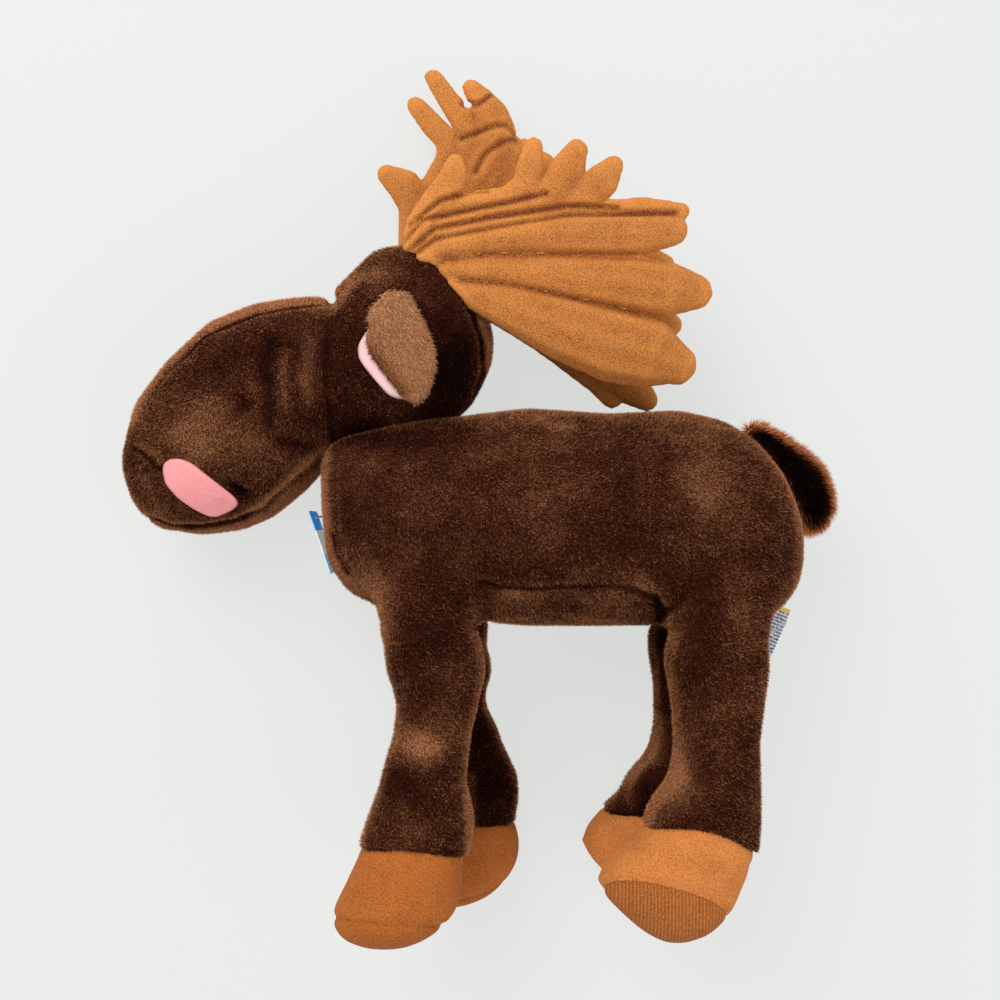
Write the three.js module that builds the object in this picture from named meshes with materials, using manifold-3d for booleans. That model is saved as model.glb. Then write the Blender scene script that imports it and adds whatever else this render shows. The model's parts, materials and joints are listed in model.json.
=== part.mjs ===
// A stuffed plush moose that lies on its right side.
// +X runs from the nose to the tail, +Y from the hooves to the antlers, +Z up from the floor.
// Lengths are millimetres. Tables that end in share or shares hold shares of the sizes they follow.

import * as THREE from "three";
import { mergeVertices } from "three/addons/utils/BufferGeometryUtils.js";
import Module from "manifold-3d";

const wasm = await Module();
wasm.setup();

// Driving dimensions of the body
const torsoLength = 217;
const torsoHeight = 98;
const torsoThickness = 104;
const headLength = 169;
const headHeight = 133.5;
const headThickness = 88;
const legDepth = 44;
const frontLegLength = 109;
const frontLegWidth = 44;
const frontHoofHeight = 42;
const frontHoofLength = 58;
const hindLegLength = 103;
const hindLegWidth = 44;
const hindHoofHeight = 51;
const hindHoofLength = 65;
const tailLength = 60;
const tailThickness = 27;

// Driving dimensions of what is sewn to the head
const antlerSpan = 135;
const antlerFlatShare = 0.62;
const antlerSpread = 45;
const earLength = 50;
const earWidth = 34;
const earThickness = 4.2;
const liningThickness = 2;
const patchLength = 35;
const patchWidth = 17;
const patchThickness = 1.5;

// Driving dimensions of the label and the swing tag
const labelWidth = 25;
const labelReach = 15;
const labelThickness = 1;
const tagHeight = 31;
const tagWidth = 40;
const tagThickness = 0.8;
const tagHole = 5;
const strandDiameter = 1;
const strandLength = 20;
const barLength = 9;
const barDiameter = 1.4;
const barStandOff = 1.6;

// Walls, gaps and cuts
const coverWall = 3;
const fillingTuckShare = 0.15;
const fillingTopShare = 0.7;
const mouthShare = 0.22;
const neckWidth = 34;
const neckDepth = 24;
const clearance = 0.4;
const seatGap = 0.3;
const floorCut = 0.5;
const overrun = 400;

// Ranges of the seams that bend, in degrees
const nodDown = 5;
const nodUp = -3;
const earSwing = 15;
const antlerRaise = 12;
const tailRaise = 35;
const sweepStep = 5;

// Turns of the limbs at rest, in degrees
const farFrontTurn = 12;
const farHindTurn = -1.5;

// Faces round each form
const torsoSides = 24;
const headSides = 20;
const legSides = 12;
const hipSides = 18;
const cavitySides = 10;
const tineSides = 8;
const leafSides = 10;
const tailSides = 12;
const holeSides = 12;

const materials = {
  plush: { color: 0x4a2f20, roughness: 0.95, metalness: 0 },
  knit: { color: 0xc98a45, roughness: 0.9, metalness: 0 },
  sole: { color: 0xb87838, roughness: 0.9, metalness: 0 },
  ear: { color: 0x9a7350, roughness: 0.95, metalness: 0 },
  pink: { color: 0xf2a5a5, roughness: 0.9, metalness: 0 },
  stuffing: { color: 0xf2f0ea, roughness: 1, metalness: 0 },
  ribbon: { color: 0xf4f2ea, roughness: 0.7, metalness: 0 },
  card: { color: 0x2f7fb5, roughness: 0.5, metalness: 0 },
  plastic: { color: 0xe8eef2, roughness: 0.35, metalness: 0 },
};

const torsoMiddle = torsoThickness / 2 - floorCut;
const headMiddle = headThickness / 2 - floorCut;
const nearLegMiddle = torsoThickness - floorCut - legDepth / 2;
const farLegMiddle = legDepth / 2 - floorCut;

// Turn a geometry with shared vertices into a solid
function solid(geometry) {
  const bare = geometry.clone();
  bare.deleteAttribute("normal");
  bare.deleteAttribute("uv");
  const merged = mergeVertices(bare);
  const mesh = new wasm.Mesh({
    numProp: 3,
    vertProperties: new Float32Array(merged.attributes.position.array),
    triVerts: new Uint32Array(merged.index.array),
  });
  return new wasm.Manifold(mesh);
}

// Turn a solid back into a geometry
function geometryOf(body) {
  const mesh = body.getMesh();
  const geometry = new THREE.BufferGeometry();
  geometry.setAttribute("position", new THREE.BufferAttribute(new Float32Array(mesh.vertProperties), 3));
  geometry.setIndex(new THREE.BufferAttribute(new Uint32Array(mesh.triVerts), 1));
  geometry.computeVertexNormals();
  return geometry;
}

// Close a list of points and triangles, with the faces turned outwards
function closedSolid(points, triangles) {
  let volume = 0;
  for (const [a, b, c] of triangles) {
    volume += points[a].dot(points[b].clone().cross(points[c]));
  }
  const index = triangles.flatMap(([a, b, c]) => (volume > 0 ? [a, b, c] : [a, c, b]));
  const geometry = new THREE.BufferGeometry().setFromPoints(points);
  geometry.setIndex(index);
  return solid(geometry);
}

// A ring has two edge points a and b, seen from above, its half depth and its middle height
function ringCentre(ring) {
  return new THREE.Vector3((ring.a.x + ring.b.x) / 2, (ring.a.y + ring.b.y) / 2, ring.middle);
}

// Loft a form through rings, grown outwards by grow, from one pole to the other
function loft(rings, { sides, grow = 0, fullness = 2.3, startPole, endPole }) {
  const points = [];
  const triangles = [];
  const power = 2 / fullness;
  const bend = (value) => Math.sign(value) * Math.abs(value) ** power;
  for (const ring of rings) {
    const centre = ringCentre(ring);
    const half = new THREE.Vector3((ring.b.x - ring.a.x) / 2, (ring.b.y - ring.a.y) / 2, 0);
    half.setLength(half.length() + grow);
    for (let side = 0; side < sides; side += 1) {
      const angle = (2 * Math.PI * side) / sides;
      const point = centre.clone().addScaledVector(half, bend(Math.cos(angle)));
      point.z += (ring.depth + grow) * bend(Math.sin(angle));
      points.push(point);
    }
  }
  const pushPole = (pole, ring) => {
    const centre = ringCentre(ring);
    const point = pole ? new THREE.Vector3(pole.x, pole.y, ring.middle) : centre.clone();
    const out = point.clone().sub(centre);
    if (out.length() > 0) {
      point.add(out.setLength(grow));
    }
    points.push(point);
    return points.length - 1;
  };
  const start = pushPole(startPole, rings[0]);
  const end = pushPole(endPole, rings[rings.length - 1]);
  for (let side = 0; side < sides; side += 1) {
    const next = (side + 1) % sides;
    triangles.push([start, next, side]);
    for (let row = 0; row < rings.length - 1; row += 1) {
      const low = row * sides;
      const high = low + sides;
      triangles.push([low + side, low + next, high + next]);
      triangles.push([low + side, high + next, high + side]);
    }
    const last = (rings.length - 1) * sides;
    triangles.push([end, last + side, last + next]);
  }
  return closedSolid(points, triangles);
}

function boxSolid(width, height, depth, x, y, z) {
  const box = new THREE.BoxGeometry(width, height, depth);
  box.translate(x, y, z);
  return solid(box);
}

function transformed(body, matrix) {
  return body.transform(matrix.elements);
}

function turnedAbout(body, pivot, degrees) {
  const matrix = new THREE.Matrix4().makeTranslation(pivot.x, pivot.y, 0);
  matrix.multiply(new THREE.Matrix4().makeRotationZ(THREE.MathUtils.degToRad(degrees)));
  matrix.multiply(new THREE.Matrix4().makeTranslation(-pivot.x, -pivot.y, 0));
  return transformed(body, matrix);
}

// Everything that a body passes through while it turns about a pivot
function swept(body, pivot, from, to) {
  const steps = Math.ceil((to - from) / sweepStep);
  let all = turnedAbout(body, pivot, from);
  for (let step = 1; step <= steps; step += 1) {
    all = all.add(turnedAbout(body, pivot, from + ((to - from) * step) / steps));
  }
  return all;
}

// Everything below the floor
function belowFloor() {
  return boxSolid(overrun * 2, overrun * 2, overrun, 0, 0, -overrun / 2);
}

// Mirror a solid from the near side of the head to the far side
function mirroredInHead(body) {
  const matrix = new THREE.Matrix4().makeTranslation(0, 0, headMiddle);
  matrix.multiply(new THREE.Matrix4().makeScale(1, 1, -1));
  matrix.multiply(new THREE.Matrix4().makeTranslation(0, 0, -headMiddle));
  return transformed(body, matrix);
}

// Torso: share along, share up of the back, share up of the belly, share of the half depth
const torsoShares = [
  [0.02, 0.82, 0.28, 0.45],
  [0.06, 0.89, 0.153, 0.68],
  [0.12, 0.92, 0.08, 0.84],
  [0.21, 0.95, 0.05, 0.95],
  [0.31, 0.967, 0.028, 1],
  [0.43, 1, 0.005, 1],
  [0.6, 0.967, 0.005, 0.98],
  [0.75, 0.99, 0.005, 1],
  [0.84, 0.944, 0.005, 0.98],
  [0.9, 0.86, 0.014, 0.92],
  [0.95, 0.73, 0.06, 0.8],
  [0.985, 0.558, 0.163, 0.55],
];
const chestPoleShares = [0, 0.58];
const rumpPoleShares = [1, 0.358];

function torsoPoint(shares) {
  return new THREE.Vector2(shares[0] * torsoLength, shares[1] * torsoHeight);
}

function torsoRings() {
  return torsoShares.map(([along, back, belly, depth]) => ({
    a: torsoPoint([along, back]),
    b: torsoPoint([along, belly]),
    depth: (depth * torsoThickness) / 2,
    middle: torsoMiddle,
  }));
}

function torsoForm(grow) {
  return loft(torsoRings(), {
    sides: torsoSides,
    grow,
    startPole: torsoPoint(chestPoleShares),
    endPole: torsoPoint(rumpPoleShares),
  });
}

// The space inside a cover: the form without its two end rings, drawn in by inset
function inside(rings, inset, sides) {
  const inner = rings.slice(1, -1);
  const first = ringCentre(rings[0]);
  const last = ringCentre(rings[rings.length - 1]);
  const tuck = inset > coverWall ? fillingTuckShare : 0;
  return loft(inner, {
    sides,
    grow: -inset,
    startPole: first.lerp(ringCentre(inner[0]), tuck),
    endPole: last.lerp(ringCentre(inner[inner.length - 1]), tuck),
  });
}

// Head: shares of its length and height from the neck, for the brow edge and then the jaw edge
const headShares = [
  [-0.737, -0.045, -0.647, -0.312, 0.62],
  [-0.701, 0.128, -0.537, -0.333, 0.85],
  [-0.619, 0.267, -0.427, -0.316, 0.95],
  [-0.503, 0.402, -0.345, -0.271, 1],
  [-0.38, 0.463, -0.263, -0.184, 1],
  [-0.268, 0.483, -0.214, -0.115, 0.96],
  [-0.182, 0.486, -0.167, -0.056, 0.9],
  [-0.135, 0.55, -0.12, -0.033, 0.86],
  [-0.058, 0.649, -0.03, -0.01, 0.82],
  [0.011, 0.667, 0.079, 0.024, 0.82],
  [0.093, 0.642, 0.153, 0.059, 0.78],
  [0.175, 0.562, 0.208, 0.128, 0.62],
  [0.241, 0.441, 0.247, 0.233, 0.36],
];
const nosePoleShares = [-0.729, -0.219];
const napePoleShares = [0.263, 0.33];
const neckShares = [0.156, 0.875];
const nodPivotShares = [0.025, 0.146];

const neck = torsoPoint(neckShares);

function headPoint(shares) {
  return new THREE.Vector2(neck.x + shares[0] * headLength, neck.y + shares[1] * headHeight);
}

const nodPivot = headPoint(nodPivotShares);

function headRings() {
  return headShares.map(([browX, browY, jawX, jawY, depth]) => ({
    a: headPoint([browX, browY]),
    b: headPoint([jawX, jawY]),
    depth: (depth * headThickness) / 2,
    middle: headMiddle,
  }));
}

function headForm(grow) {
  return loft(headRings(), {
    sides: headSides,
    grow,
    startPole: headPoint(nosePoleShares),
    endPole: headPoint(napePoleShares),
  });
}

// Legs: shares down and across of the front edge, then of the back edge, and of the half depth
const frontLegShares = [
  [-0.19, -0.27, -0.19, 0.27, 0.5],
  [-0.12, -0.44, -0.12, 0.44, 0.78],
  [-0.04, -0.5, -0.04, 0.5, 0.96],
  [0.05, -0.45, 0.06, 0.47, 1],
  [0.21, -0.36, 0.18, 0.57, 1],
  [0.29, -0.37, 0.28, 0.61, 1],
  [0.42, -0.25, 0.4, 0.53, 0.93],
  [0.56, -0.32, 0.54, 0.45, 0.87],
  [0.74, -0.42, 0.72, 0.41, 0.88],
  [0.9, -0.58, 0.88, 0.5, 0.96],
  [0.99, -0.66, 1, 0.46, 0.98],
];
const frontHoofShares = [
  [0, -0.46, 0.01, 0.27, 0.92],
  [0.15, -0.515, 0.15, 0.288, 0.98],
  [0.3, -0.58, 0.3, 0.288, 1],
  [0.45, -0.636, 0.45, 0.284, 1],
  [0.58, -0.685, 0.58, 0.273, 1],
  [0.69, -0.705, 0.68, 0.22, 0.97],
  [0.8, -0.68, 0.78, 0.155, 0.9],
  [0.9, -0.6, 0.87, 0.06, 0.75],
  [0.965, -0.47, 0.95, -0.06, 0.5],
];
const hindLegShares = [
  [-0.2, -0.27, -0.2, 0.28, 0.5],
  [-0.12, -0.45, -0.12, 0.46, 0.78],
  [-0.04, -0.5, -0.04, 0.52, 0.96],
  [0.08, -0.42, 0.06, 0.5, 1],
  [0.2, -0.55, 0.17, 0.44, 1],
  [0.31, -0.54, 0.28, 0.47, 1],
  [0.44, -0.47, 0.4, 0.42, 0.93],
  [0.63, -0.46, 0.6, 0.37, 0.87],
  [0.76, -0.52, 0.74, 0.38, 0.88],
  [0.87, -0.73, 0.89, 0.39, 0.95],
  [0.975, -0.79, 1.07, 0.38, 0.98],
];
const hindHoofShares = [
  [-0.03, -0.52, 0.17, 0.165, 0.92],
  [0.1, -0.67, 0.28, 0.168, 0.98],
  [0.24, -0.8, 0.38, 0.158, 1],
  [0.36, -0.84, 0.5, 0.13, 1],
  [0.5, -0.79, 0.6, 0.09, 1],
  [0.62, -0.69, 0.7, 0.02, 0.97],
  [0.74, -0.58, 0.78, -0.06, 0.85],
  [0.83, -0.47, 0.85, -0.2, 0.6],
];

const frontHipShares = [0.221, 0.135];
const hindHipShares = [0.818, 0.135];
const hipRoomShare = 0.585;

const legKinds = {
  front: {
    hip: torsoPoint(frontHipShares),
    length: frontLegLength,
    width: frontLegWidth,
    shares: frontLegShares,
    domeShares: [0, -0.221],
    hoofHeight: frontHoofHeight,
    hoofLength: frontHoofLength,
    hoofShares: frontHoofShares,
    toeShares: [-0.27, 1],
    soleShares: [-0.2, 0.61],
    soleTilt: 14,
    soleRoll: -4,
  },
  hind: {
    hip: torsoPoint(hindHipShares),
    length: hindLegLength,
    width: hindLegWidth,
    shares: hindLegShares,
    domeShares: [0, -0.234],
    hoofHeight: hindHoofHeight,
    hoofLength: hindHoofLength,
    hoofShares: hindHoofShares,
    toeShares: [-0.33, 0.885],
    soleShares: [-0.35, 0.3],
    soleTilt: 36,
    soleRoll: -16,
  },
};

function legPoint(kind, across, down) {
  return new THREE.Vector2(kind.hip.x + across * kind.width, kind.hip.y - down * kind.length);
}

function hoofPoint(kind, across, down) {
  const x = kind.hip.x + across * kind.hoofLength;
  return new THREE.Vector2(x, kind.hip.y - kind.length - down * kind.hoofHeight);
}

function legRings(kind, middle) {
  return kind.shares.map(([frontDown, front, backDown, back, depth]) => ({
    a: legPoint(kind, front, frontDown),
    b: legPoint(kind, back, backDown),
    depth: (depth * legDepth) / 2,
    middle,
  }));
}

function hoofRings(kind, middle) {
  return kind.hoofShares.map(([frontDown, front, backDown, back, depth]) => ({
    a: hoofPoint(kind, front, frontDown),
    b: hoofPoint(kind, back, backDown),
    depth: (depth * legDepth) / 2,
    middle,
  }));
}

function legForm(kind, middle, grow) {
  const dome = legPoint(kind, kind.domeShares[0], kind.domeShares[1]);
  return loft(legRings(kind, middle), { sides: legSides, grow, startPole: dome });
}

function hoofForm(kind, middle, grow) {
  const toe = hoofPoint(kind, kind.toeShares[0], kind.toeShares[1]);
  return loft(hoofRings(kind, middle), { sides: legSides, grow, endPole: toe });
}

// The half space that the sole fills, moved out by gap
function soleSpace(kind, middle, nearSide, gap) {
  const point = hoofPoint(kind, kind.soleShares[0], kind.soleShares[1]);
  const side = nearSide ? 1 : -1;
  const box = new THREE.BoxGeometry(overrun, overrun, overrun);
  box.translate(0, -overrun / 2 + gap, 0);
  box.rotateX(-side * THREE.MathUtils.degToRad(kind.soleTilt));
  box.rotateZ(THREE.MathUtils.degToRad(kind.soleRoll));
  box.translate(point.x, point.y, middle + (side * legDepth) / 2);
  return solid(box);
}

// The rings of the hollow that runs down a leg and into its hoof
function legHollow(kind, middle, inset) {
  const leg = legRings(kind, middle);
  const hoof = hoofRings(kind, middle);
  const seam = kind.shares.length - 1;
  const rings = [leg[2], leg[3], leg[5], leg[6], leg[8], leg[seam], hoof[1], hoof[3], hoof[5]];
  const top = ringCentre(leg[2]);
  const end = ringCentre(hoof[6]);
  const tuck = inset > coverWall ? fillingTuckShare : 0;
  const reach = inset > coverWall ? fillingTopShare : 1;
  return loft(rings, {
    sides: cavitySides,
    grow: -inset,
    startPole: top.lerp(ringCentre(leg[1]), reach),
    endPole: end.lerp(ringCentre(hoof[5]), tuck),
  });
}

// The mouth through which the filling of a leg meets the filling of the body
function legMouth(kind, middle) {
  const radius = kind.width * mouthShare;
  const mouth = new THREE.CylinderGeometry(radius, radius, kind.width, cavitySides);
  mouth.translate(kind.hip.x, kind.hip.y + kind.width / 2, middle);
  return solid(mouth);
}

const toy = new THREE.Group();

function addPiece(name, body, material) {
  const shaded = new THREE.MeshStandardMaterial(materials[material]);
  const mesh = new THREE.Mesh(geometryOf(body), shaded);
  mesh.name = name;
  toy.add(mesh);
}

const floor = belowFloor();

const legs = [
  { name: "front_left", kind: legKinds.front, near: true, turn: 0 },
  { name: "front_right", kind: legKinds.front, near: false, turn: farFrontTurn },
  { name: "hind_left", kind: legKinds.hind, near: true, turn: 0 },
  { name: "hind_right", kind: legKinds.hind, near: false, turn: farHindTurn },
];

// Each leg is a cover open at both ends, a hoof, a sole and the filling through all three
function addLeg({ name, kind, near, turn }) {
  const middle = near ? nearLegMiddle : farLegMiddle;
  const place = (body) => turnedAbout(body, kind.hip, turn).subtract(floor);
  const hollow = legHollow(kind, middle, coverWall);
  const whole = hoofForm(kind, middle, 0);
  const cover = legForm(kind, middle, 0).subtract(hoofForm(kind, middle, seatGap));
  const hoof = whole.subtract(soleSpace(kind, middle, near, seatGap));
  const sole = whole.intersect(soleSpace(kind, middle, near, 0));
  const openCover = cover.subtract(hollow).subtract(legMouth(kind, middle));
  addPiece(`leg_${name}_cover`, place(openCover), "plush");
  addPiece(`leg_${name}_filling`, place(legHollow(kind, middle, coverWall + clearance)), "stuffing");
  addPiece(`hoof_${name}`, place(hoof.subtract(hollow)), "knit");
  addPiece(`hoof_${name}_sole`, place(sole.subtract(hollow)), "sole");
}

legs.forEach(addLeg);

// The room that the legs and the head need in the torso
function legRoom({ kind, near }) {
  const middle = near ? nearLegMiddle : farLegMiddle;
  const radius = kind.width * hipRoomShare;
  const room = new THREE.CylinderGeometry(radius, radius, legDepth + 2 * clearance, hipSides);
  room.rotateX(Math.PI / 2);
  room.translate(kind.hip.x, kind.hip.y, middle);
  return solid(room);
}

const headRoom = swept(headForm(clearance), nodPivot, nodUp, nodDown);
const limbRoom = legs.map(legRoom).reduce((all, room) => all.add(room), headRoom);

// Tail, in shares of its length from the root: outer edge, inner edge and half thickness
const tailRootShares = [0.89, 0.898];
const tailShares = [
  [0.023, 0.061, 0, -0.061, 0.5],
  [0.122, 0.061, 0.076, -0.152, 0.75],
  [0.274, -0.023, 0.167, -0.304, 0.9],
  [0.433, -0.129, 0.243, -0.441, 1],
  [0.585, -0.258, 0.319, -0.555, 1],
  [0.661, -0.441, 0.365, -0.669, 0.9],
  [0.676, -0.578, 0.418, -0.745, 0.7],
  [0.616, -0.692, 0.509, -0.768, 0.4],
];
const tailRootPoleShares = [-0.015, 0.008];
const tailTipPoleShares = [0.57, -0.745];

function addTail() {
  const root = torsoPoint(tailRootShares);
  const point = (x, y) => new THREE.Vector2(root.x + x * tailLength, root.y + y * tailLength);
  const rings = tailShares.map(([outerX, outerY, innerX, innerY, depth]) => ({
    a: point(outerX, outerY),
    b: point(innerX, innerY),
    depth: (depth * tailThickness) / 2,
    middle: torsoMiddle,
  }));
  const form = loft(rings, {
    sides: tailSides,
    startPole: point(...tailRootPoleShares),
    endPole: point(...tailTipPoleShares),
  });
  addPiece("tail", form.subtract(swept(torsoForm(clearance), root, -tailRaise, 0)), "plush");
}

// Antler tines, in shares of the span from the root: along, up and half width
const antlerRootShares = [0.038, 0.597];
const nearTineShares = [
  [
    [0.005, 0.019, 0.027],
    [0.025, 0.105, 0.036],
    [0.078, 0.171, 0.045],
    [0.131, 0.231, 0.048],
    [0.152, 0.281, 0.04],
    [0.154, 0.317, 0.028],
  ],
  [
    [0.016, 0.025, 0.022],
    [0.093, 0.152, 0.027],
    [0.215, 0.197, 0.027],
    [0.325, 0.202, 0.031],
    [0.392, 0.241, 0.046],
    [0.405, 0.313, 0.04],
    [0.414, 0.37, 0.03],
  ],
  [
    [0.027, 0.02, 0.02],
    [0.126, 0.136, 0.024],
    [0.281, 0.172, 0.027],
    [0.414, 0.191, 0.033],
    [0.491, 0.23, 0.053],
    [0.529, 0.298, 0.056],
    [0.557, 0.359, 0.035],
  ],
  [
    [0.043, 0.009, 0.018],
    [0.159, 0.125, 0.022],
    [0.336, 0.156, 0.024],
    [0.502, 0.175, 0.029],
    [0.592, 0.215, 0.056],
    [0.647, 0.26, 0.054],
    [0.681, 0.31, 0.03],
  ],
  [
    [0.049, 0.003, 0.018],
    [0.171, 0.103, 0.024],
    [0.392, 0.138, 0.027],
    [0.613, 0.161, 0.027],
    [0.789, 0.169, 0.029],
    [0.909, 0.156, 0.024],
  ],
  [
    [0.027, -0.008, 0.027],
    [0.148, 0.047, 0.046],
    [0.336, 0.075, 0.061],
    [0.557, 0.081, 0.071],
    [0.756, 0.078, 0.069],
    [0.875, 0.094, 0.051],
  ],
  [
    [0.038, -0.035, 0.029],
    [0.171, -0.035, 0.044],
    [0.369, -0.043, 0.06],
    [0.568, -0.069, 0.079],
    [0.756, -0.087, 0.094],
    [0.867, -0.105, 0.088],
    [0.95, -0.112, 0.057],
  ],
  [
    [0.06, -0.069, 0.029],
    [0.193, -0.107, 0.046],
    [0.336, -0.16, 0.075],
    [0.506, -0.226, 0.108],
    [0.683, -0.289, 0.123],
    [0.809, -0.318, 0.114],
    [0.889, -0.353, 0.066],
  ],
];
const farTineShares = [
  [
    [-0.012, 0.03, 0.047],
    [-0, 0.15, 0.057],
    [0.007, 0.253, 0.064],
    [-0.043, 0.325, 0.057],
    [-0.104, 0.361, 0.032],
  ],
  [
    [-0, 0.043, 0.046],
    [0.035, 0.189, 0.061],
    [0.089, 0.321, 0.061],
    [0.132, 0.418, 0.054],
    [0.114, 0.482, 0.039],
    [0.06, 0.539, 0.037],
    [-0, 0.611, 0.029],
  ],
  [
    [0.017, 0.043, 0.046],
    [0.089, 0.218, 0.064],
    [0.171, 0.393, 0.064],
    [0.203, 0.5, 0.05],
    [0.167, 0.561, 0.041],
    [0.121, 0.625, 0.036],
    [0.064, 0.72627, 0.029],
  ],
  [
    [0.042, 0.036, 0.047],
    [0.15, 0.207, 0.071],
    [0.25, 0.375, 0.089],
    [0.292, 0.493, 0.079],
    [0.267, 0.575, 0.061],
    [0.235, 0.632, 0.045],
    [0.2, 0.682, 0.03],
  ],
  [
    [0.05, 0.04, 0.05],
    [0.28, 0.33, 0.08],
    [0.37, 0.43, 0.06],
    [0.39, 0.452, 0.035],
  ],
  [
    [0.05, 0.04, 0.06],
    [0.264, 0.217, 0.08],
    [0.392, 0.345, 0.09],
    [0.448, 0.388, 0.054],
  ],
  [
    [0.05, 0.02, 0.05],
    [0.371, 0.057, 0.08],
    [0.691, 0.055, 0.085],
    [0.83, 0.045, 0.06],
    [0.89, 0.035, 0.038],
  ],
  [
    [0.068, 0.01, 0.05],
    [0.371, -0.032, 0.08],
    [0.691, -0.1, 0.09],
    [0.86, -0.155, 0.06],
    [0.915, -0.178, 0.038],
  ],
  [
    [0.086, 0, 0.05],
    [0.371, -0.132, 0.08],
    [0.62, -0.282, 0.085],
    [0.78, -0.405, 0.06],
    [0.828, -0.446, 0.038],
  ],
  [
    [0.071, -0.01, 0.05],
    [0.302, -0.1, 0.06],
    [0.506, -0.263, 0.045],
    [0.654, -0.381, 0.04],
    [0.704, -0.44, 0.034],
  ],
];

// The rounded end of a tine, in shares of the half width at its tip: how far on, and how wide there
const tineDomeShares = [0.62, 0.78];

// One stuffed tine: rings across a path of points with a half width
function tineForm(pathShares, root, middle) {
  const path = pathShares.map(([along, up, half]) => ({
    at: new THREE.Vector2(root.x + along * antlerSpan, root.y + up * antlerSpan),
    half: half * antlerSpan,
  }));
  const tip = path[path.length - 1];
  const onward = tip.at.clone().sub(path[path.length - 2].at).setLength(tip.half);
  const [domeShare, domeHalfShare] = tineDomeShares;
  path.push({ at: tip.at.clone().addScaledVector(onward, domeShare), half: tip.half * domeHalfShare });
  const rings = path.map(({ at, half }, place) => {
    const before = path[Math.max(place - 1, 0)].at;
    const after = path[Math.min(place + 1, path.length - 1)].at;
    const across = after.clone().sub(before).normalize().rotateAround(new THREE.Vector2(), Math.PI / 2);
    return {
      a: at.clone().addScaledVector(across, half),
      b: at.clone().addScaledVector(across, -half),
      depth: half * antlerFlatShare,
      middle,
    };
  });
  return loft(rings, { sides: tineSides, fullness: 2, endPole: tip.at.clone().add(onward) });
}

function addAntler(name, tineShares, middle) {
  const root = headPoint(antlerRootShares);
  const tines = tineShares.map((pathShares) => tineForm(pathShares, root, middle));
  const whole = tines.reduce((all, tine) => all.add(tine));
  addPiece(name, whole.subtract(swept(headForm(clearance), root, -antlerRaise, 0)), "knit");
}

// Ears, in shares of their length and width from the root: down, front edge, back edge, thickness
const earRootShares = [0.005, 0.473];
const earShares = [
  [0.02, -0.1, 0.2, 0.6],
  [0.17, -0.3, 0.33, 0.85],
  [0.33, -0.38, 0.45, 1],
  [0.5, -0.34, 0.55, 1],
  [0.66, -0.2, 0.57, 1],
  [0.83, -0.02, 0.53, 0.9],
  [0.96, 0.13, 0.42, 0.6],
];
const liningShares = [
  [0.06, -0.1, 0.1, 0.6],
  [0.2, -0.38, 0.22, 0.85],
  [0.36, -0.5, 0.36, 1],
  [0.52, -0.47, 0.42, 1],
  [0.67, -0.34, 0.44, 1],
  [0.83, -0.14, 0.4, 0.9],
  [0.95, 0.05, 0.3, 0.6],
];
const earTipShares = [0.29, 1.03];
const liningTipShares = [0.2, 0.99];

function leafForm(shares, tipShares, thickness, middle) {
  const root = headPoint(earRootShares);
  const point = (x, down) => new THREE.Vector2(root.x + x * earWidth, root.y - down * earLength);
  const rings = shares.map(([down, front, back, share]) => ({
    a: point(front, down),
    b: point(back, down),
    depth: (share * thickness) / 2,
    middle,
  }));
  return loft(rings, { sides: leafSides, endPole: point(...tipShares) });
}

// Each ear lies on the side of the head: the lining against it and the plush outside
function addEars() {
  const root = headPoint(earRootShares);
  const skullShare = 0.82;
  const skull = headMiddle + (skullShare * headThickness) / 2;
  const liningMiddle = skull + clearance + liningThickness / 2;
  const earMiddle = liningMiddle + liningThickness / 2 + seatGap + earThickness / 2;
  const room = swept(headForm(clearance), root, -earSwing, earSwing);
  const ear = leafForm(earShares, earTipShares, earThickness, earMiddle).subtract(room);
  const lining = leafForm(liningShares, liningTipShares, liningThickness, liningMiddle).subtract(room);
  addPiece("ear_left", ear, "ear");
  addPiece("ear_left_lining", lining, "pink");
  addPiece("ear_right", mirroredInHead(ear).subtract(floor), "ear");
  addPiece("ear_right_lining", mirroredInHead(lining), "pink");
}

// Nostril patches: a felt lozenge that follows the side of the muzzle
const patchPlaceShares = [-0.498, -0.17];
const patchTurn = -39;
const patchCornerShare = 0.4;
const patchCornerSteps = 3;

function addPatches() {
  const place = headPoint(patchPlaceShares);
  const corner = patchWidth * patchCornerShare;
  const x = patchLength / 2 - corner;
  const y = patchWidth / 2 - corner;
  const shape = new THREE.Shape();
  shape.absarc(x, y, corner, 0, Math.PI / 2);
  shape.absarc(-x, y, corner, Math.PI / 2, Math.PI);
  shape.absarc(-x, -y, corner, Math.PI, (3 * Math.PI) / 2);
  shape.absarc(x, -y, corner, (3 * Math.PI) / 2, 2 * Math.PI);
  const prism = new THREE.ExtrudeGeometry(shape, {
    depth: headThickness,
    bevelEnabled: false,
    curveSegments: patchCornerSteps,
  });
  prism.rotateZ(THREE.MathUtils.degToRad(patchTurn));
  prism.translate(place.x, place.y, headMiddle);
  const skin = headForm(seatGap + patchThickness).subtract(headForm(seatGap));
  const patch = skin.intersect(solid(prism));
  addPiece("nostril_left", patch, "pink");
  addPiece("nostril_right", mirroredInHead(patch).subtract(floor), "pink");
}

// Head: a cover with its mouth at the neck, and the filling inside it
function addHead() {
  const hollow = inside(headRings(), coverWall, cavitySides);
  const mouthRadius = neckWidth / 2;
  const mouth = new THREE.CylinderGeometry(mouthRadius, mouthRadius, neckDepth, holeSides);
  mouth.translate(neck.x, neck.y, headMiddle);
  const cover = headForm(0).subtract(hollow).subtract(solid(mouth)).subtract(floor);
  const filling = inside(headRings(), coverWall + clearance, cavitySides);
  addPiece("head_cover", cover, "plush");
  addPiece("head_filling", filling, "stuffing");
}

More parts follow.
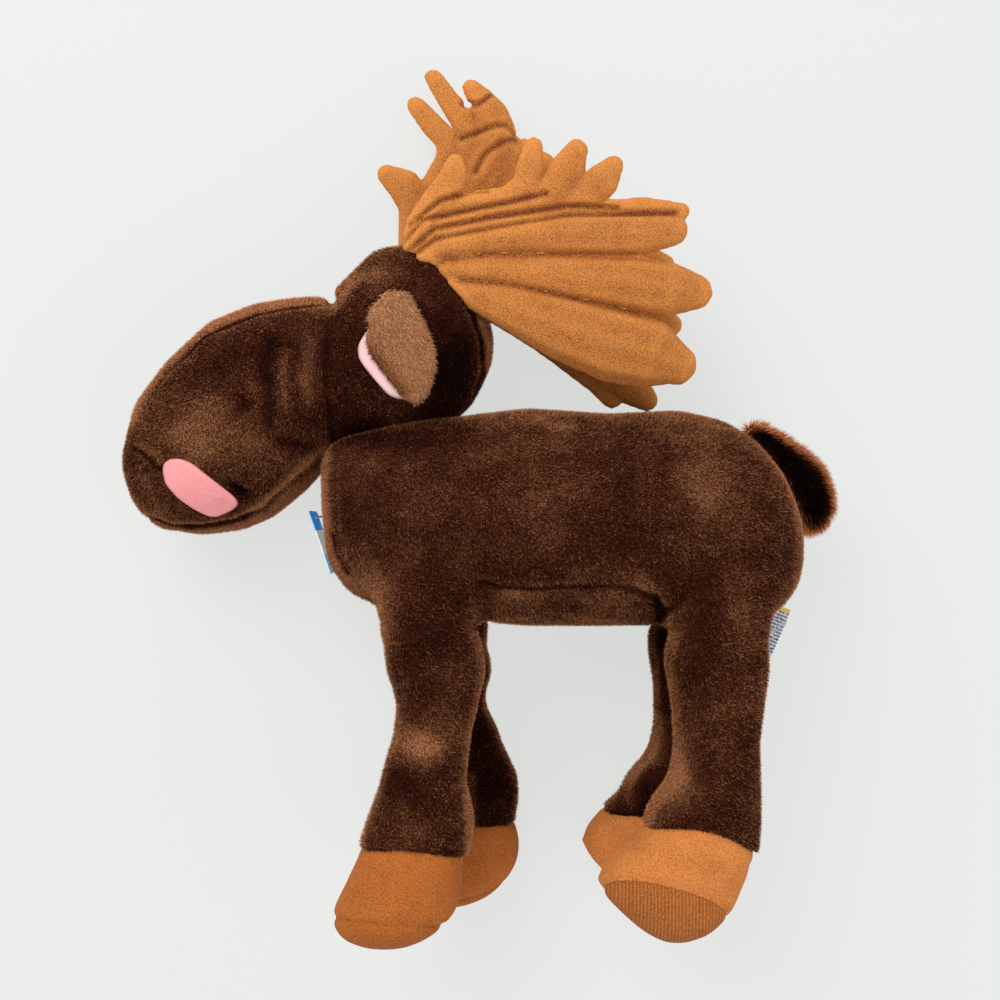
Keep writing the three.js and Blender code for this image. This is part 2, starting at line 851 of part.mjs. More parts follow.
// Swing tag: a card on a plastic strand with a cross bar, anchored in the chest
const tagPlaceShares = [-0.03, 0.5];
const tagHeightShare = 0.25;
const tagHoleShare = 0.1;
const tagTurn = 19;
const tagPivot = torsoPoint(tagPlaceShares);
const tagMiddle = torsoThickness * tagHeightShare;

function fastenerForm(grow) {
  const strandRadius = strandDiameter / 2 + grow;
  const barRadius = barDiameter / 2 + grow;
  const barX = tagPivot.x - tagThickness / 2 - barStandOff;
  const strand = new THREE.CylinderGeometry(strandRadius, strandRadius, strandLength + 2 * grow, holeSides);
  strand.rotateZ(Math.PI / 2);
  strand.translate(barX + strandLength / 2, tagPivot.y, tagMiddle);
  const bar = new THREE.CylinderGeometry(barRadius, barRadius, barLength + 2 * grow, holeSides);
  bar.rotateX(Math.PI / 2);
  bar.translate(barX, tagPivot.y, tagMiddle);
  return solid(strand).add(solid(bar));
}

function addTag() {
  const card = new THREE.BoxGeometry(tagThickness, tagHeight, tagWidth);
  card.translate(0, tagHeight * (tagHoleShare - 0.5), 0);
  const hole = new THREE.CylinderGeometry(tagHole / 2, tagHole / 2, tagWidth, holeSides);
  hole.rotateZ(Math.PI / 2);
  const flat = solid(card).subtract(solid(hole));
  const matrix = new THREE.Matrix4().makeTranslation(tagPivot.x, tagPivot.y, tagMiddle);
  matrix.multiply(new THREE.Matrix4().makeRotationZ(THREE.MathUtils.degToRad(tagTurn)));
  addPiece("swing_tag", transformed(flat, matrix), "card");
  addPiece("tag_fastener", fastenerForm(0), "plastic");
}

// Sewn label: a folded ribbon that stands out of the rump seam
const labelCornerShares = [0.99, 0.065];
const labelTurn = -23;

function addLabel() {
  const corner = torsoPoint(labelCornerShares);
  const ribbon = new THREE.BoxGeometry(labelReach, labelWidth, labelThickness);
  ribbon.translate(-labelReach / 2, -labelWidth / 2, 0);
  ribbon.rotateZ(THREE.MathUtils.degToRad(labelTurn));
  ribbon.translate(corner.x, corner.y, torsoMiddle);
  addPiece("sewn_label", solid(ribbon).subtract(torsoForm(clearance)), "ribbon");
}

// Torso: a cover that is open where the limbs enter it, and the filling inside it
function addTorso() {
  const room = limbRoom.add(fastenerForm(clearance));
  const hollow = inside(torsoRings(), coverWall, cavitySides);
  const filling = inside(torsoRings(), coverWall + clearance, cavitySides);
  addPiece("torso_cover", torsoForm(0).subtract(hollow).subtract(room).subtract(floor), "plush");
  addPiece("torso_filling", filling.subtract(room), "stuffing");
}

addTorso();
addHead();
addPatches();
addEars();
addAntler("antler_left", nearTineShares, headMiddle + antlerSpread / 2);
addAntler("antler_right", farTineShares, headMiddle - antlerSpread / 2);
addTail();
addLabel();
addTag();

// The origin is on the floor, under the middle of the toy
const bounds = new THREE.Box3().setFromObject(toy);
const centre = bounds.getCenter(new THREE.Vector3());
toy.position.set(-centre.x, -centre.y, -bounds.min.z);

export default toy;
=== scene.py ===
# %% [markdown]
# # A plush moose, dressed over its imported model
# The imported model is the frame: it holds every size, place and joint, and nothing in it is moved here.
# This script puts the cloth, the pile, the seams and the finishes on it. The scene is in metres. Lines
# and places that are given one by one are in millimetres and say so.

# %% Load the frame and note its box
import json
import math

import bmesh
import bpy
import numpy as np
from mathutils import Matrix, Vector
from mathutils.bvhtree import BVHTree
from mathutils.kdtree import KDTree

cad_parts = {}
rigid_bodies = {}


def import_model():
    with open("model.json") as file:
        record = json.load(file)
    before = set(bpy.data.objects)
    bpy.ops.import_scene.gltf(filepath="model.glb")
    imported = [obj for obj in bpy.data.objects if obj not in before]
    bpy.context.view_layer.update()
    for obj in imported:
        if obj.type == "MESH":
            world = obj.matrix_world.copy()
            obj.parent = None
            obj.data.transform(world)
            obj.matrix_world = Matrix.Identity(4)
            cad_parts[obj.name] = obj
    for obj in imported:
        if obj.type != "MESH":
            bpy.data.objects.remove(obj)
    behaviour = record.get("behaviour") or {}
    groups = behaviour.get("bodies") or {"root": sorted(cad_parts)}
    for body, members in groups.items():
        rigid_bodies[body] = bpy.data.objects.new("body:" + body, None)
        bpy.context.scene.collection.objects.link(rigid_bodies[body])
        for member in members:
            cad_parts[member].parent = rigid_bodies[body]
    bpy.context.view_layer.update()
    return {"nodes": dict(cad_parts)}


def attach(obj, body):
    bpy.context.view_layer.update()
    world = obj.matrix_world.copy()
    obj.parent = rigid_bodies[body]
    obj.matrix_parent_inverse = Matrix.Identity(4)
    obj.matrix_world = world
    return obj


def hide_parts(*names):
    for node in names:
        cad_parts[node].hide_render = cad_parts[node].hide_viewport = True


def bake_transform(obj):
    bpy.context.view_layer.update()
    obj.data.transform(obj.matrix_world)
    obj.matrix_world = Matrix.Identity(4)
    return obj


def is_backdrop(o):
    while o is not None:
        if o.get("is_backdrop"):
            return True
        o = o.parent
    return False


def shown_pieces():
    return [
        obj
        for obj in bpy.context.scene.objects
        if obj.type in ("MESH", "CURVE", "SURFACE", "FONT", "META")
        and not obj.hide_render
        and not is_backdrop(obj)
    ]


for default in list(bpy.data.objects):
    bpy.data.objects.remove(default)
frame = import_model()

# %% [markdown]
# ## Camera and light
# The toy lies on its side on a white table and is seen from straight above. The camera stands 650 mm
# over the table with a mild telephoto lens. The light is a pale sky with two broad soft lamps, as under
# a light tent, so the shadows are faint. The table looks brighter to the camera than it shines on the
# toy, so that the brown plush is not washed out from below.

# %% Camera, lamps and table
scene = bpy.context.scene
scene.view_settings.view_transform = "Standard"

camera_data = bpy.data.cameras.new("camera")
camera_data.lens = 46.9
camera_data.sensor_width = 36
camera = bpy.data.objects.new("camera", camera_data)
camera.location = (0.0097, -0.0072, 0.65)
scene.collection.objects.link(camera)
scene.camera = camera


LAMP_AIM = Vector((0, 0, 0.05))


def soft_lamp(name, place, size, power):
    """A square lamp that faces the middle of the toy."""
    data = bpy.data.lights.new(name, "AREA")
    data.size = size
    data.energy = power
    lamp = bpy.data.objects.new(name, data)
    lamp.location = place
    lamp.rotation_euler = (LAMP_AIM - Vector(place)).to_track_quat("-Z", "Y").to_euler()
    scene.collection.objects.link(lamp)


soft_lamp("window_lamp", (-0.5, 0.75, 1.1), 0.9, 13)
soft_lamp("fill_lamp", (0.9, -0.6, 1.0), 1.2, 5)

world = bpy.data.worlds.new("sky")
world.use_nodes = True
world.node_tree.nodes["Background"].inputs["Color"].default_value = (0.93, 0.97, 1.0, 1)
world.node_tree.nodes["Background"].inputs["Strength"].default_value = 0.62
scene.world = world


def clear_selection():
    """Nothing is selected or active afterwards."""
    bpy.ops.object.select_all(action="DESELECT")
    bpy.context.view_layer.objects.active = None


# How much of what the camera sees of the table is its own glow
GLOW_SHARE = 0.79
clear_selection()
bpy.ops.mesh.primitive_plane_add(size=8)
table_top = bpy.context.object
table_top.name = "table_top"
table_material = bpy.data.materials.new("table_white")
table_material.use_nodes = True
table_tree = table_material.node_tree
table_shader = table_tree.nodes["Principled BSDF"]
table_shader.inputs["Base Color"].default_value = (0.8, 0.82, 0.8, 1)
table_shader.inputs["Roughness"].default_value = 0.9
glow = table_tree.nodes.new("ShaderNodeEmission")
glow.inputs["Color"].default_value = (0.825, 0.838, 0.82, 1)
seen = table_tree.nodes.new("ShaderNodeLightPath")
share = table_tree.nodes.new("ShaderNodeMath")
share.operation = "MULTIPLY"
share.inputs[1].default_value = GLOW_SHARE
blend = table_tree.nodes.new("ShaderNodeMixShader")
table_tree.links.new(seen.outputs["Is Camera Ray"], share.inputs[0])
table_tree.links.new(share.outputs[0], blend.inputs[0])
table_tree.links.new(table_shader.outputs[0], blend.inputs[1])
table_tree.links.new(glow.outputs[0], blend.inputs[2])
table_tree.links.new(blend.outputs[0], table_tree.nodes["Material Output"].inputs["Surface"])
table_top.data.materials.append(table_material)
table_top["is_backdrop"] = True
print("camera", tuple(camera.location), "lens", camera_data.lens)

# %% [markdown]
# ## Helpers for soft forms
# Each soft piece starts as a copy of its CAD solids. A copy has loose triangles and open pockets, so its
# doubles are merged and a voxel remesh closes it to one even skin. A tight skin is then let out by a
# short cloth simulation with air pressure in it, which crowns the panels between their seams.

# %% Selecting, modifiers and copies
def choose(piece):
    """Select this piece alone and make it active."""
    clear_selection()
    piece.select_set(True)
    bpy.context.view_layer.objects.active = piece


def apply_modifier(piece, kind, **settings):
    """Add a modifier with these settings and apply it."""
    choose(piece)
    modifier = piece.modifiers.new(kind.lower(), kind)
    for key, value in settings.items():
        setattr(modifier, key, value)
    bpy.ops.object.modifier_apply(modifier=modifier.name)


def new_piece(name, shape):
    """Make an object from a bmesh and free the bmesh."""
    data = bpy.data.meshes.new(name)
    shape.to_mesh(data)
    shape.free()
    piece = bpy.data.objects.new(name, data)
    scene.collection.objects.link(piece)
    return piece


def copy_of(name, *nodes):
    """One merged copy of some CAD nodes, which themselves stay as they are."""
    shape = bmesh.new()
    for node in nodes:
        shape.from_mesh(frame["nodes"][node].data)
    bmesh.ops.remove_doubles(shape, verts=shape.verts, dist=1e-5)
    shape.normal_update()
    return new_piece(name, shape)


def coordinates(piece):
    """The piece's points as an array."""
    points = np.empty(len(piece.data.vertices) * 3)
    piece.data.vertices.foreach_get("co", points)
    return points.reshape(-1, 3)


def set_coordinates(piece, points):
    """Move the piece's points to these places."""
    piece.data.vertices.foreach_set("co", np.ascontiguousarray(points, float).ravel())
    piece.data.update()


def point_normals(piece):
    """The direction that the skin faces at each point."""
    normals = np.empty(len(piece.data.vertices) * 3, np.float32)
    piece.data.vertex_normals.foreach_get("vector", normals)
    return normals.reshape(-1, 3).astype(float)


# %% Closing, remeshing and keeping the outer skin
def parts_of(shape):
    """The points of a bmesh in lists, one for each part that hangs together."""
    parts, seen = [], set()
    for first in shape.verts:
        if first in seen:
            continue
        part, front = [], [first]
        seen.add(first)
        while front:
            vert = front.pop()
            part.append(vert)
            reached = {edge.other_vert(vert) for edge in vert.link_edges} - seen
            seen |= reached
            front.extend(reached)
        parts.append(part)
    return parts


def keep_biggest_part(piece):
    """Keep the part with the most points and delete the others, such as bubbles left inside."""
    shape = bmesh.new()
    shape.from_mesh(piece.data)
    for part in sorted(parts_of(shape), key=len)[:-1]:
        bmesh.ops.delete(shape, geom=part, context="VERTS")
    shape.to_mesh(piece.data)
    shape.free()


def closed_skin(piece, voxel, swell=0.0, back=0.0):
    """Remesh to one closed skin, swollen first so that narrow gaps close, and then drawn back."""
    if swell:
        set_coordinates(piece, coordinates(piece) + point_normals(piece) * swell)
    apply_modifier(piece, "REMESH", mode="VOXEL", voxel_size=voxel)
    keep_biggest_part(piece)
    if swell:
        apply_modifier(piece, "SMOOTH", factor=0.5, iterations=4)
        set_coordinates(piece, coordinates(piece) - point_normals(piece) * back)


def neighbours_mean(piece, values, rounds):
    """Values smoothed over the edges of a mesh."""
    edges = np.empty(len(piece.data.edges) * 2, np.int32)
    piece.data.edges.foreach_get("vertices", edges)
    edges = edges.reshape(-1, 2)
    count = np.maximum(np.bincount(edges.ravel(), minlength=len(piece.data.vertices)), 1).astype(float)
    for _ in range(rounds):
        total = np.zeros_like(values)
        np.add.at(total, edges[:, 0], values[edges[:, 1]])
        np.add.at(total, edges[:, 1], values[edges[:, 0]])
        values = total / (count[:, None] if values.ndim == 2 else count)
    return values


def eased(piece, weight, rounds):
    """Smooth a mesh by a weight for each point: 0 leaves it, 1 moves it all the way."""
    points = coordinates(piece)
    set_coordinates(piece, points + (neighbours_mean(piece, points, rounds) - points) * weight[:, None])


def distance_to_line(points, line):
    """How far each point is from a line of straight stretches."""
    best = np.full(len(points), np.inf)
    for start, end in zip(line[:-1], line[1:]):
        start, end = np.array(start, float), np.array(end, float)
        step = end - start
        share = np.clip((points - start) @ step / np.linalg.norm(step) ** 2, 0, 1)
        best = np.minimum(best, np.linalg.norm(points - (start + share[:, None] * step), axis=1))
    return best


def flat_distance(points, places):
    """How far points are, seen from above, from a line given in millimetres."""
    line = [(x / 1000, y / 1000, 0) for x, y in places]
    flat = points.copy()
    flat[:, 2] = 0
    return distance_to_line(flat, line)


def pulled_in(piece, places, depth, width, side=1):
    """Press a seam or fold into one side: 1 is the side that shows, -1 the one beneath, 0 both."""
    points = coordinates(piece)
    normals = point_normals(piece)
    weight = np.exp(-((flat_distance(points, places) / width) ** 2))
    if side:
        weight *= np.clip(normals[:, 2] * side * 2.5 + 0.5, 0, 1)
    set_coordinates(piece, points - normals * (weight * depth)[:, None])


def bulged(piece, place, height, reach):
    """Swell, or with a negative height sink, the skin round a place given in millimetres."""
    points = coordinates(piece)
    normals = point_normals(piece)
    away = np.linalg.norm((points - np.array(place) / 1000) / (np.array(reach) / 1000), axis=1)
    set_coordinates(piece, points + normals * (height * np.exp(-(away**2)))[:, None])


# %% Letting a tight skin out with air
# How far a skin is drawn in before it is blown up, and the furthest that a point may end from its place
DRAWN_IN, FURTHEST = 0.0010, 0.0028


def inflated(piece, pinned):
    """Draw the skin in, blow it up as cloth, and hold each point near its first place."""
    first = coordinates(piece)
    set_coordinates(piece, first - point_normals(piece) * DRAWN_IN)
    group = piece.vertex_groups.new(name="sewn")
    for index in np.nonzero(pinned)[0]:
        group.add([int(index)], 1.0, "REPLACE")
    cloth = piece.modifiers.new("cloth", "CLOTH")
    cloth.settings.use_pressure = True
    cloth.settings.uniform_pressure_force = 4
    cloth.settings.tension_stiffness = 8
    cloth.settings.compression_stiffness = 8
    cloth.settings.vertex_group_mass = "sewn"
    cloth.settings.effector_weights.gravity = 0
    for frame_number in range(1, 21):
        scene.frame_set(frame_number)
    choose(piece)
    bpy.ops.object.modifier_apply(modifier="cloth")
    piece.vertex_groups.clear()
    moved = coordinates(piece) - first
    length = np.linalg.norm(moved, axis=1)
    moved *= np.minimum(1, FURTHEST / np.maximum(length, 1e-9))[:, None]
    set_coordinates(piece, first + moved)
    print(piece.name, "moved at most", round(float(length.max()) * 1000, 2), "mm")

# %% [markdown]
# ## Finishes
# Plush is drawn with three things at once: roots darkened as painted shade deep in the pile, lighter
# tips, and a nap drawn as a painted sheen, pale where the pile is brushed towards the eye. So every plush
# piece carries two numbers at each point: "tip", from root to tip, and one from dark to pale, which holds
# the nap and tone of the cloth with painted light and shade laid in: pale rims at the outline, and dark
# shade in folds, where parts meet and on the far legs. One shader group turns them into a colour, and
# each plush gives the group its own three colours. Fleece, felt, ribbed knit, ribbon, card and clear
# plastic follow.

# %% Shader helpers
def grouped(name, inputs, outputs):
    """An empty shader group with named inputs and outputs."""
    tree = bpy.data.node_groups.new(name, "ShaderNodeTree")
    for socket, kind, value in inputs:
        made = tree.interface.new_socket(socket, in_out="INPUT", socket_type=kind)
        made.default_value = value
    for socket, kind in outputs:
        tree.interface.new_socket(socket, in_out="OUTPUT", socket_type=kind)
    return tree, tree.nodes.new("NodeGroupInput"), tree.nodes.new("NodeGroupOutput")


def joined(tree, kind, settings=(), **inputs):
    """A node whose inputs, named or as i and a number, are values or other nodes' outputs."""
    node = tree.nodes.new(kind)
    for key, value in dict(settings).items():
        setattr(node, key, value)
    for key, value in inputs.items():
        socket = node.inputs[int(key[1:]) if key[1:].isdigit() else key]
        if isinstance(value, bpy.types.NodeSocket):
            tree.links.new(value, socket)
        else:
            socket.default_value = value
    return node


def mixed(tree, share, low, high):
    """A colour between two others."""
    return joined(tree, "ShaderNodeMix", {"data_type": "RGBA"}, i0=share, i6=low, i7=high).outputs[2]


def worked(tree, operation, one, two=0.0):
    """What an operation makes of one or two numbers."""
    return joined(tree, "ShaderNodeMath", {"operation": operation}, i0=one, i1=two).outputs[0]


def spread(tree, value, low, high):
    """A value run from 0 at low to 1 at high."""
    return joined(tree, "ShaderNodeMapRange", Value=value, i1=low, i2=high).outputs[0]


def object_place(tree):
    """The place of a point on its object."""
    return tree.nodes.new("ShaderNodeTexCoord").outputs["Object"]


def noise_in(tree, place, scale, detail=3.0, roughness=0.6):
    """Cloudy noise from 0 to 1."""
    look = {"Scale": scale, "Detail": detail, "Roughness": roughness}
    return joined(tree, "ShaderNodeTexNoise", Vector=place, **look).outputs["Fac"]


def kept_number(tree, name):
    """A number that is stored at each point."""
    return joined(tree, "ShaderNodeAttribute", {"attribute_name": name}).outputs["Fac"]


# %% The plush group
plush_tree, plush_in, plush_out = grouped(
    "pile_colour",
    [
        ("Root", "NodeSocketColor", (0.01, 0.005, 0.003, 1)),
        ("Middle", "NodeSocketColor", (0.05, 0.02, 0.01, 1)),
        ("Pale", "NodeSocketColor", (0.2, 0.1, 0.05, 1)),
        ("Grain", "NodeSocketFloat", 1300.0),
        ("Mottle", "NodeSocketFloat", 0.35),
    ],
    [("Color", "NodeSocketColor"), ("Roughness", "NodeSocketFloat")],
)
place = object_place(plush_tree)
fine = noise_in(plush_tree, place, plush_in.outputs["Grain"], 2.0)
broad = noise_in(plush_tree, place, 60.0, 4.0, 0.66)
mottle = worked(plush_tree, "SUBTRACT", broad, 0.5)
mottle = worked(plush_tree, "MULTIPLY", mottle, plush_in.outputs["Mottle"])
# The stored number holds nap and tone with painted light and shade; broad mottle and fine grain add tone
# at random.
nap_tone_and_painted_light = worked(plush_tree, "ADD", kept_number(plush_tree, "nap_tone_and_painted_light"), mottle)
grain = worked(plush_tree, "MULTIPLY", worked(plush_tree, "SUBTRACT", fine, 0.5), 1.3)
nap_tone_and_painted_light = worked(plush_tree, "ADD", nap_tone_and_painted_light, grain)
root_colour = plush_in.outputs["Root"]
lower = mixed(plush_tree, spread(plush_tree, nap_tone_and_painted_light, 0.0, 0.35), root_colour, plush_in.outputs["Middle"])
shown = worked(plush_tree, "POWER", spread(plush_tree, nap_tone_and_painted_light, 0.35, 1.0), 1.5)
face_colour = mixed(plush_tree, shown, lower, plush_in.outputs["Pale"])
# Each tuft is drawn darker towards its root: painted shade deep in the pile.
above_root = spread(plush_tree, kept_number(plush_tree, "tip"), 0.0, 0.75)
plush_colour = mixed(plush_tree, above_root, root_colour, face_colour)
plush_tree.links.new(plush_colour, plush_out.inputs["Color"])
plush_tree.links.new(spread(plush_tree, fine, -2.2, 1.0), plush_out.inputs["Roughness"])


def linear(red, green, blue):
    """A colour given as on a paint card, 0 to 255, in the values that light adds up in."""
    parts = [value / 255 for value in (red, green, blue)]
    return (*[part / 12.92 if part <= 0.04045 else ((part + 0.055) / 1.055) ** 2.4 for part in parts], 1)


def plain_material(name):
    """A material with its nodes, its tree and its shader."""
    material = bpy.data.materials.new(name)
    material.use_nodes = True
    return material, material.node_tree, material.node_tree.nodes["Principled BSDF"]


def plush_material(name, root, middle, pale, sheen, mottle=0.35):
    """Plush pile in its own three colours, with the soft rim that light gives to fibre ends."""
    material, tree, shader = plain_material(name)
    group = joined(tree, "ShaderNodeGroup", {"node_tree": plush_tree})
    for socket, value in (("Root", root), ("Middle", middle), ("Pale", pale), ("Mottle", mottle)):
        group.inputs[socket].default_value = value
    tree.links.new(group.outputs["Color"], shader.inputs["Base Color"])
    tree.links.new(group.outputs["Roughness"], shader.inputs["Roughness"])
    shader.inputs["Specular IOR Level"].default_value = 0.03
    shader.inputs["Sheen Weight"].default_value = sheen
    shader.inputs["Sheen Roughness"].default_value = 0.5
    shader.inputs["Sheen Tint"].default_value = middle
    return material


brown_plush = plush_material(
    "brown_plush", linear(20, 7, 4), linear(78, 33, 19), linear(216, 146, 98), 0.05, mottle=0.6
)
ear_plush = plush_material(
    "ear_plush", linear(96, 56, 32), linear(186, 120, 76), linear(250, 192, 142), 0.12
)
tail_plush = plush_material(
    "tail_plush", linear(9, 4, 3), linear(92, 42, 20), linear(250, 154, 92), 0.15, mottle=0.2
)

# %% [markdown]
# Antlers and hooves are brushed knit fleece: a dense fuzzy loop with a grain of about a millimetre. The
# group gives a colour that darkens in the pits and a height for the bump. The soles are the same yarn
# knitted in ribs. Felt is matted and nearly flat, with stray fibres.

# %% Fleece, knit and felt
fleece_tree, fleece_in, fleece_out = grouped(
    "fleece_face",
    [
        ("Dark", "NodeSocketColor", (0.2, 0.08, 0.02, 1)),
        ("Light", "NodeSocketColor", (0.6, 0.3, 0.1, 1)),
        ("Grain", "NodeSocketFloat", 1700.0),
        ("Crease", "NodeSocketFloat", 1.0),
    ],
    [("Color", "NodeSocketColor"), ("Height", "NodeSocketFloat"), ("Roughness", "NodeSocketFloat")],
)
place = object_place(fleece_tree)
scale = fleece_in.outputs["Grain"]
loops = joined(fleece_tree, "ShaderNodeTexVoronoi", {"feature": "F1"}, Vector=place, Scale=scale)
pits = spread(fleece_tree, loops.outputs["Distance"], 0.75, 0.1)
fuzz = noise_in(fleece_tree, place, 2600.0, 3.0, 0.7)
worn = noise_in(fleece_tree, place, 90.0, 2.0)
pits = worked(fleece_tree, "MULTIPLY", pits, 0.6)
height = worked(fleece_tree, "ADD", pits, worked(fleece_tree, "MULTIPLY", fuzz, 0.7))
worn = worked(fleece_tree, "MULTIPLY", worn, 0.16)
shade = worked(fleece_tree, "ADD", worked(fleece_tree, "MULTIPLY", height, 0.62), worn)
# The colour is darkened where the skin lies in a crease and lightened a little on ridges: painted shade
# and painted light.
crease_shade = worked(fleece_tree, "MULTIPLY", kept_number(fleece_tree, "crease_shade"), fleece_in.outputs["Crease"])
shade = spread(fleece_tree, worked(fleece_tree, "SUBTRACT", shade, crease_shade), 0.16, 0.76)
fleece_colour = mixed(fleece_tree, shade, fleece_in.outputs["Dark"], fleece_in.outputs["Light"])
fleece_tree.links.new(fleece_colour, fleece_out.inputs["Color"])
fleece_tree.links.new(height, fleece_out.inputs["Height"])
fleece_tree.links.new(spread(fleece_tree, fuzz, -3.0, 1.0), fleece_out.inputs["Roughness"])


def knit_material(name, dark, light, grain=1700.0, bump=0.7, rib=None, crease_shade=0.1):
    """Fleece or knit. rib is the number of ribs a metre across x, for a ribbed knit."""
    material, tree, shader = plain_material(name)
    group = joined(tree, "ShaderNodeGroup", {"node_tree": fleece_tree})
    for socket, value in (("Dark", dark), ("Light", light), ("Grain", grain), ("Crease", crease_shade)):
        group.inputs[socket].default_value = value
    colour, height = group.outputs["Color"], group.outputs["Height"]
    if rib:
        split = joined(tree, "ShaderNodeSeparateXYZ", Vector=object_place(tree))
        wave = worked(tree, "SINE", worked(tree, "MULTIPLY", split.outputs["X"], rib * 2 * math.pi))
        rise = spread(tree, wave, -1.0, 1.0)
        height = worked(tree, "ADD", worked(tree, "MULTIPLY", height, 0.5), rise)
        valley = worked(tree, "MULTIPLY", worked(tree, "SUBTRACT", 1.0, rise), 0.5)
        colour = mixed(tree, valley, colour, dark)
    tree.links.new(colour, shader.inputs["Base Color"])
    tree.links.new(group.outputs["Roughness"], shader.inputs["Roughness"])
    bumped = joined(tree, "ShaderNodeBump", Height=height, Strength=bump, Distance=0.0006)
    tree.links.new(bumped.outputs["Normal"], shader.inputs["Normal"])
    shader.inputs["Specular IOR Level"].default_value = 0.25
    shader.inputs["Sheen Weight"].default_value = 0.25
    shader.inputs["Sheen Tint"].default_value = light
    return material


# The antler fleece is darkened strongly in its channels: painted shade.
antler_fleece = knit_material("antler_fleece", linear(108, 48, 12), linear(242, 155, 76), crease_shade=0.72)
hoof_fleece = knit_material("hoof_fleece", linear(132, 64, 20), linear(222, 128, 54), 1500.0)
hind_fleece = knit_material("hind_fleece", linear(166, 90, 38), linear(255, 160, 82), 1500.0)
sole_fleece = knit_material("sole_fleece", linear(124, 60, 20), linear(212, 120, 50), 1500.0)
sole_knit = knit_material("sole_knit", linear(112, 54, 18), linear(236, 142, 68), 1600.0, rib=680.0)
pink_felt = knit_material("pink_felt", linear(244, 142, 142), linear(255, 176, 174), 1800.0, 0.25)
pale_felt = knit_material("pale_felt", linear(244, 186, 184), linear(255, 218, 214), 1800.0, 0.25)


# %% Ribbon, card and plastic
def patterned(name, low, high, scale, roughness, glow=0.0):
    """A smooth finish that varies a little. glow is painted light: the card shines with its own colour.
    """
    material, tree, shader = plain_material(name)
    grain = noise_in(tree, object_place(tree), scale)
    colour = mixed(tree, grain, low, high)
    tree.links.new(colour, shader.inputs["Base Color"])
    if glow:
        tree.links.new(colour, shader.inputs["Emission Color"])
        shader.inputs["Emission Strength"].default_value = glow
    tree.links.new(spread(tree, grain, -roughness * 2, 2.0), shader.inputs["Roughness"])
    bumped = joined(tree, "ShaderNodeBump", Height=grain, Strength=0.15, Distance=0.0003)
    tree.links.new(bumped.outputs["Normal"], shader.inputs["Normal"])
    return material


def woven(name, ground, thread, turn):
    """Ribbon with rows of darker weft, turned by an angle and broken up at random."""
    material, tree, shader = plain_material(name)
    mapping = joined(tree, "ShaderNodeMapping", Vector=object_place(tree), Rotation=(0, 0, turn))
    split = joined(tree, "ShaderNodeSeparateXYZ", Vector=mapping.outputs["Vector"])
    rows = worked(tree, "SINE", worked(tree, "MULTIPLY", split.outputs["Y"], 640 * 2 * math.pi))
    broken = noise_in(tree, mapping.outputs["Vector"], 1500.0, 2.0)
    shown = spread(tree, worked(tree, "ADD", worked(tree, "MULTIPLY", rows, 0.11), broken), 0.46, 0.62)
    tree.links.new(mixed(tree, shown, ground, thread), shader.inputs["Base Color"])
    tree.links.new(spread(tree, broken, -2.0, 1.0), shader.inputs["Roughness"])
    return material


ribbon_white = woven("ribbon_white", linear(240, 242, 248), linear(70, 86, 124), math.radians(23))
ribbon_yellow = patterned("ribbon_yellow", linear(240, 210, 60), linear(255, 238, 120), 1500.0, 0.6)
# The card leaves glow a little: painted light that keeps the tag bright in the shade beside the chest.
card_blue = patterned("card_blue", linear(16, 122, 206), linear(50, 160, 236), 400.0, 0.35, glow=0.4)
card_white = patterned("card_white", linear(214, 220, 222), linear(240, 244, 246), 500.0, 0.4, glow=0.3)
card_light_blue = patterned(
    "card_light_blue", linear(120, 190, 232), linear(160, 215, 245), 400.0, 0.35, glow=0.3
)
clear_plastic = patterned("clear_plastic", linear(205, 214, 220), linear(235, 240, 244), 600.0, 0.2)
print("materials", len(bpy.data.materials))

# %% [markdown]
# ## The body and its four legs
# The real cover is sewn so that the side panels run down into the legs without a seam. The torso, the
# legs and the hooves are therefore closed to one skin first, so that they flow into each other, and
# blown up together. Only then is the skin cut into torso, legs and hooves. Each leg keeps its top end
# on the torso.

# %% One skin over torso, legs and hooves
LEGS = {
    "front_left": dict(hip=(-23.54, -50.97), middle=81.5, turn=0.0, kind="front"),
    "front_right": dict(hip=(-23.54, -50.97), middle=21.5, turn=12.0, kind="front"),
    "hind_left": dict(hip=(106.01, -50.97), middle=81.5, turn=0.0, kind="hind"),
    "hind_right": dict(hip=(106.01, -50.97), middle=21.5, turn=-1.5, kind="hind"),
}
# Two ends of the seam between leg and hoof in millimetres, and how far it arches up between them
HOOF_SEAMS = {
    "front_left": ((-52.5, -157.5), (-3.3, -161.5), 5.0),
    "front_right": ((-29.5, -160.0), (18.9, -161.0), 1.5),
    "hind_left": ((67.0, -150.0), (122.7, -161.0), 9.5),
    "hind_right": ((62.0, -155.5), (121.0, -159.0), 2.0),
}


def seam_line(name):
    """The arched seam between a leg and its hoof as a line of short stretches."""
    start, end, rise = HOOF_SEAMS[name]
    start, end = np.array(start), np.array(end)
    run = end - start
    up = np.array((-run[1], run[0])) / np.linalg.norm(run)
    shares = np.linspace(-1, 1, 13)
    return [tuple((start + end) / 2 + run * share / 2 + up * rise * (1 - share**2)) for share in shares]


body_nodes = ["torso_cover", "torso_filling"]
for name in LEGS:
    body_nodes += [f"leg_{name}_cover", f"leg_{name}_filling", f"hoof_{name}", f"hoof_{name}_sole"]
body = copy_of("body", *body_nodes)
closed_skin(body, 0.003, swell=0.0014, back=0.0004)
print("body skin", len(body.data.vertices), "points")

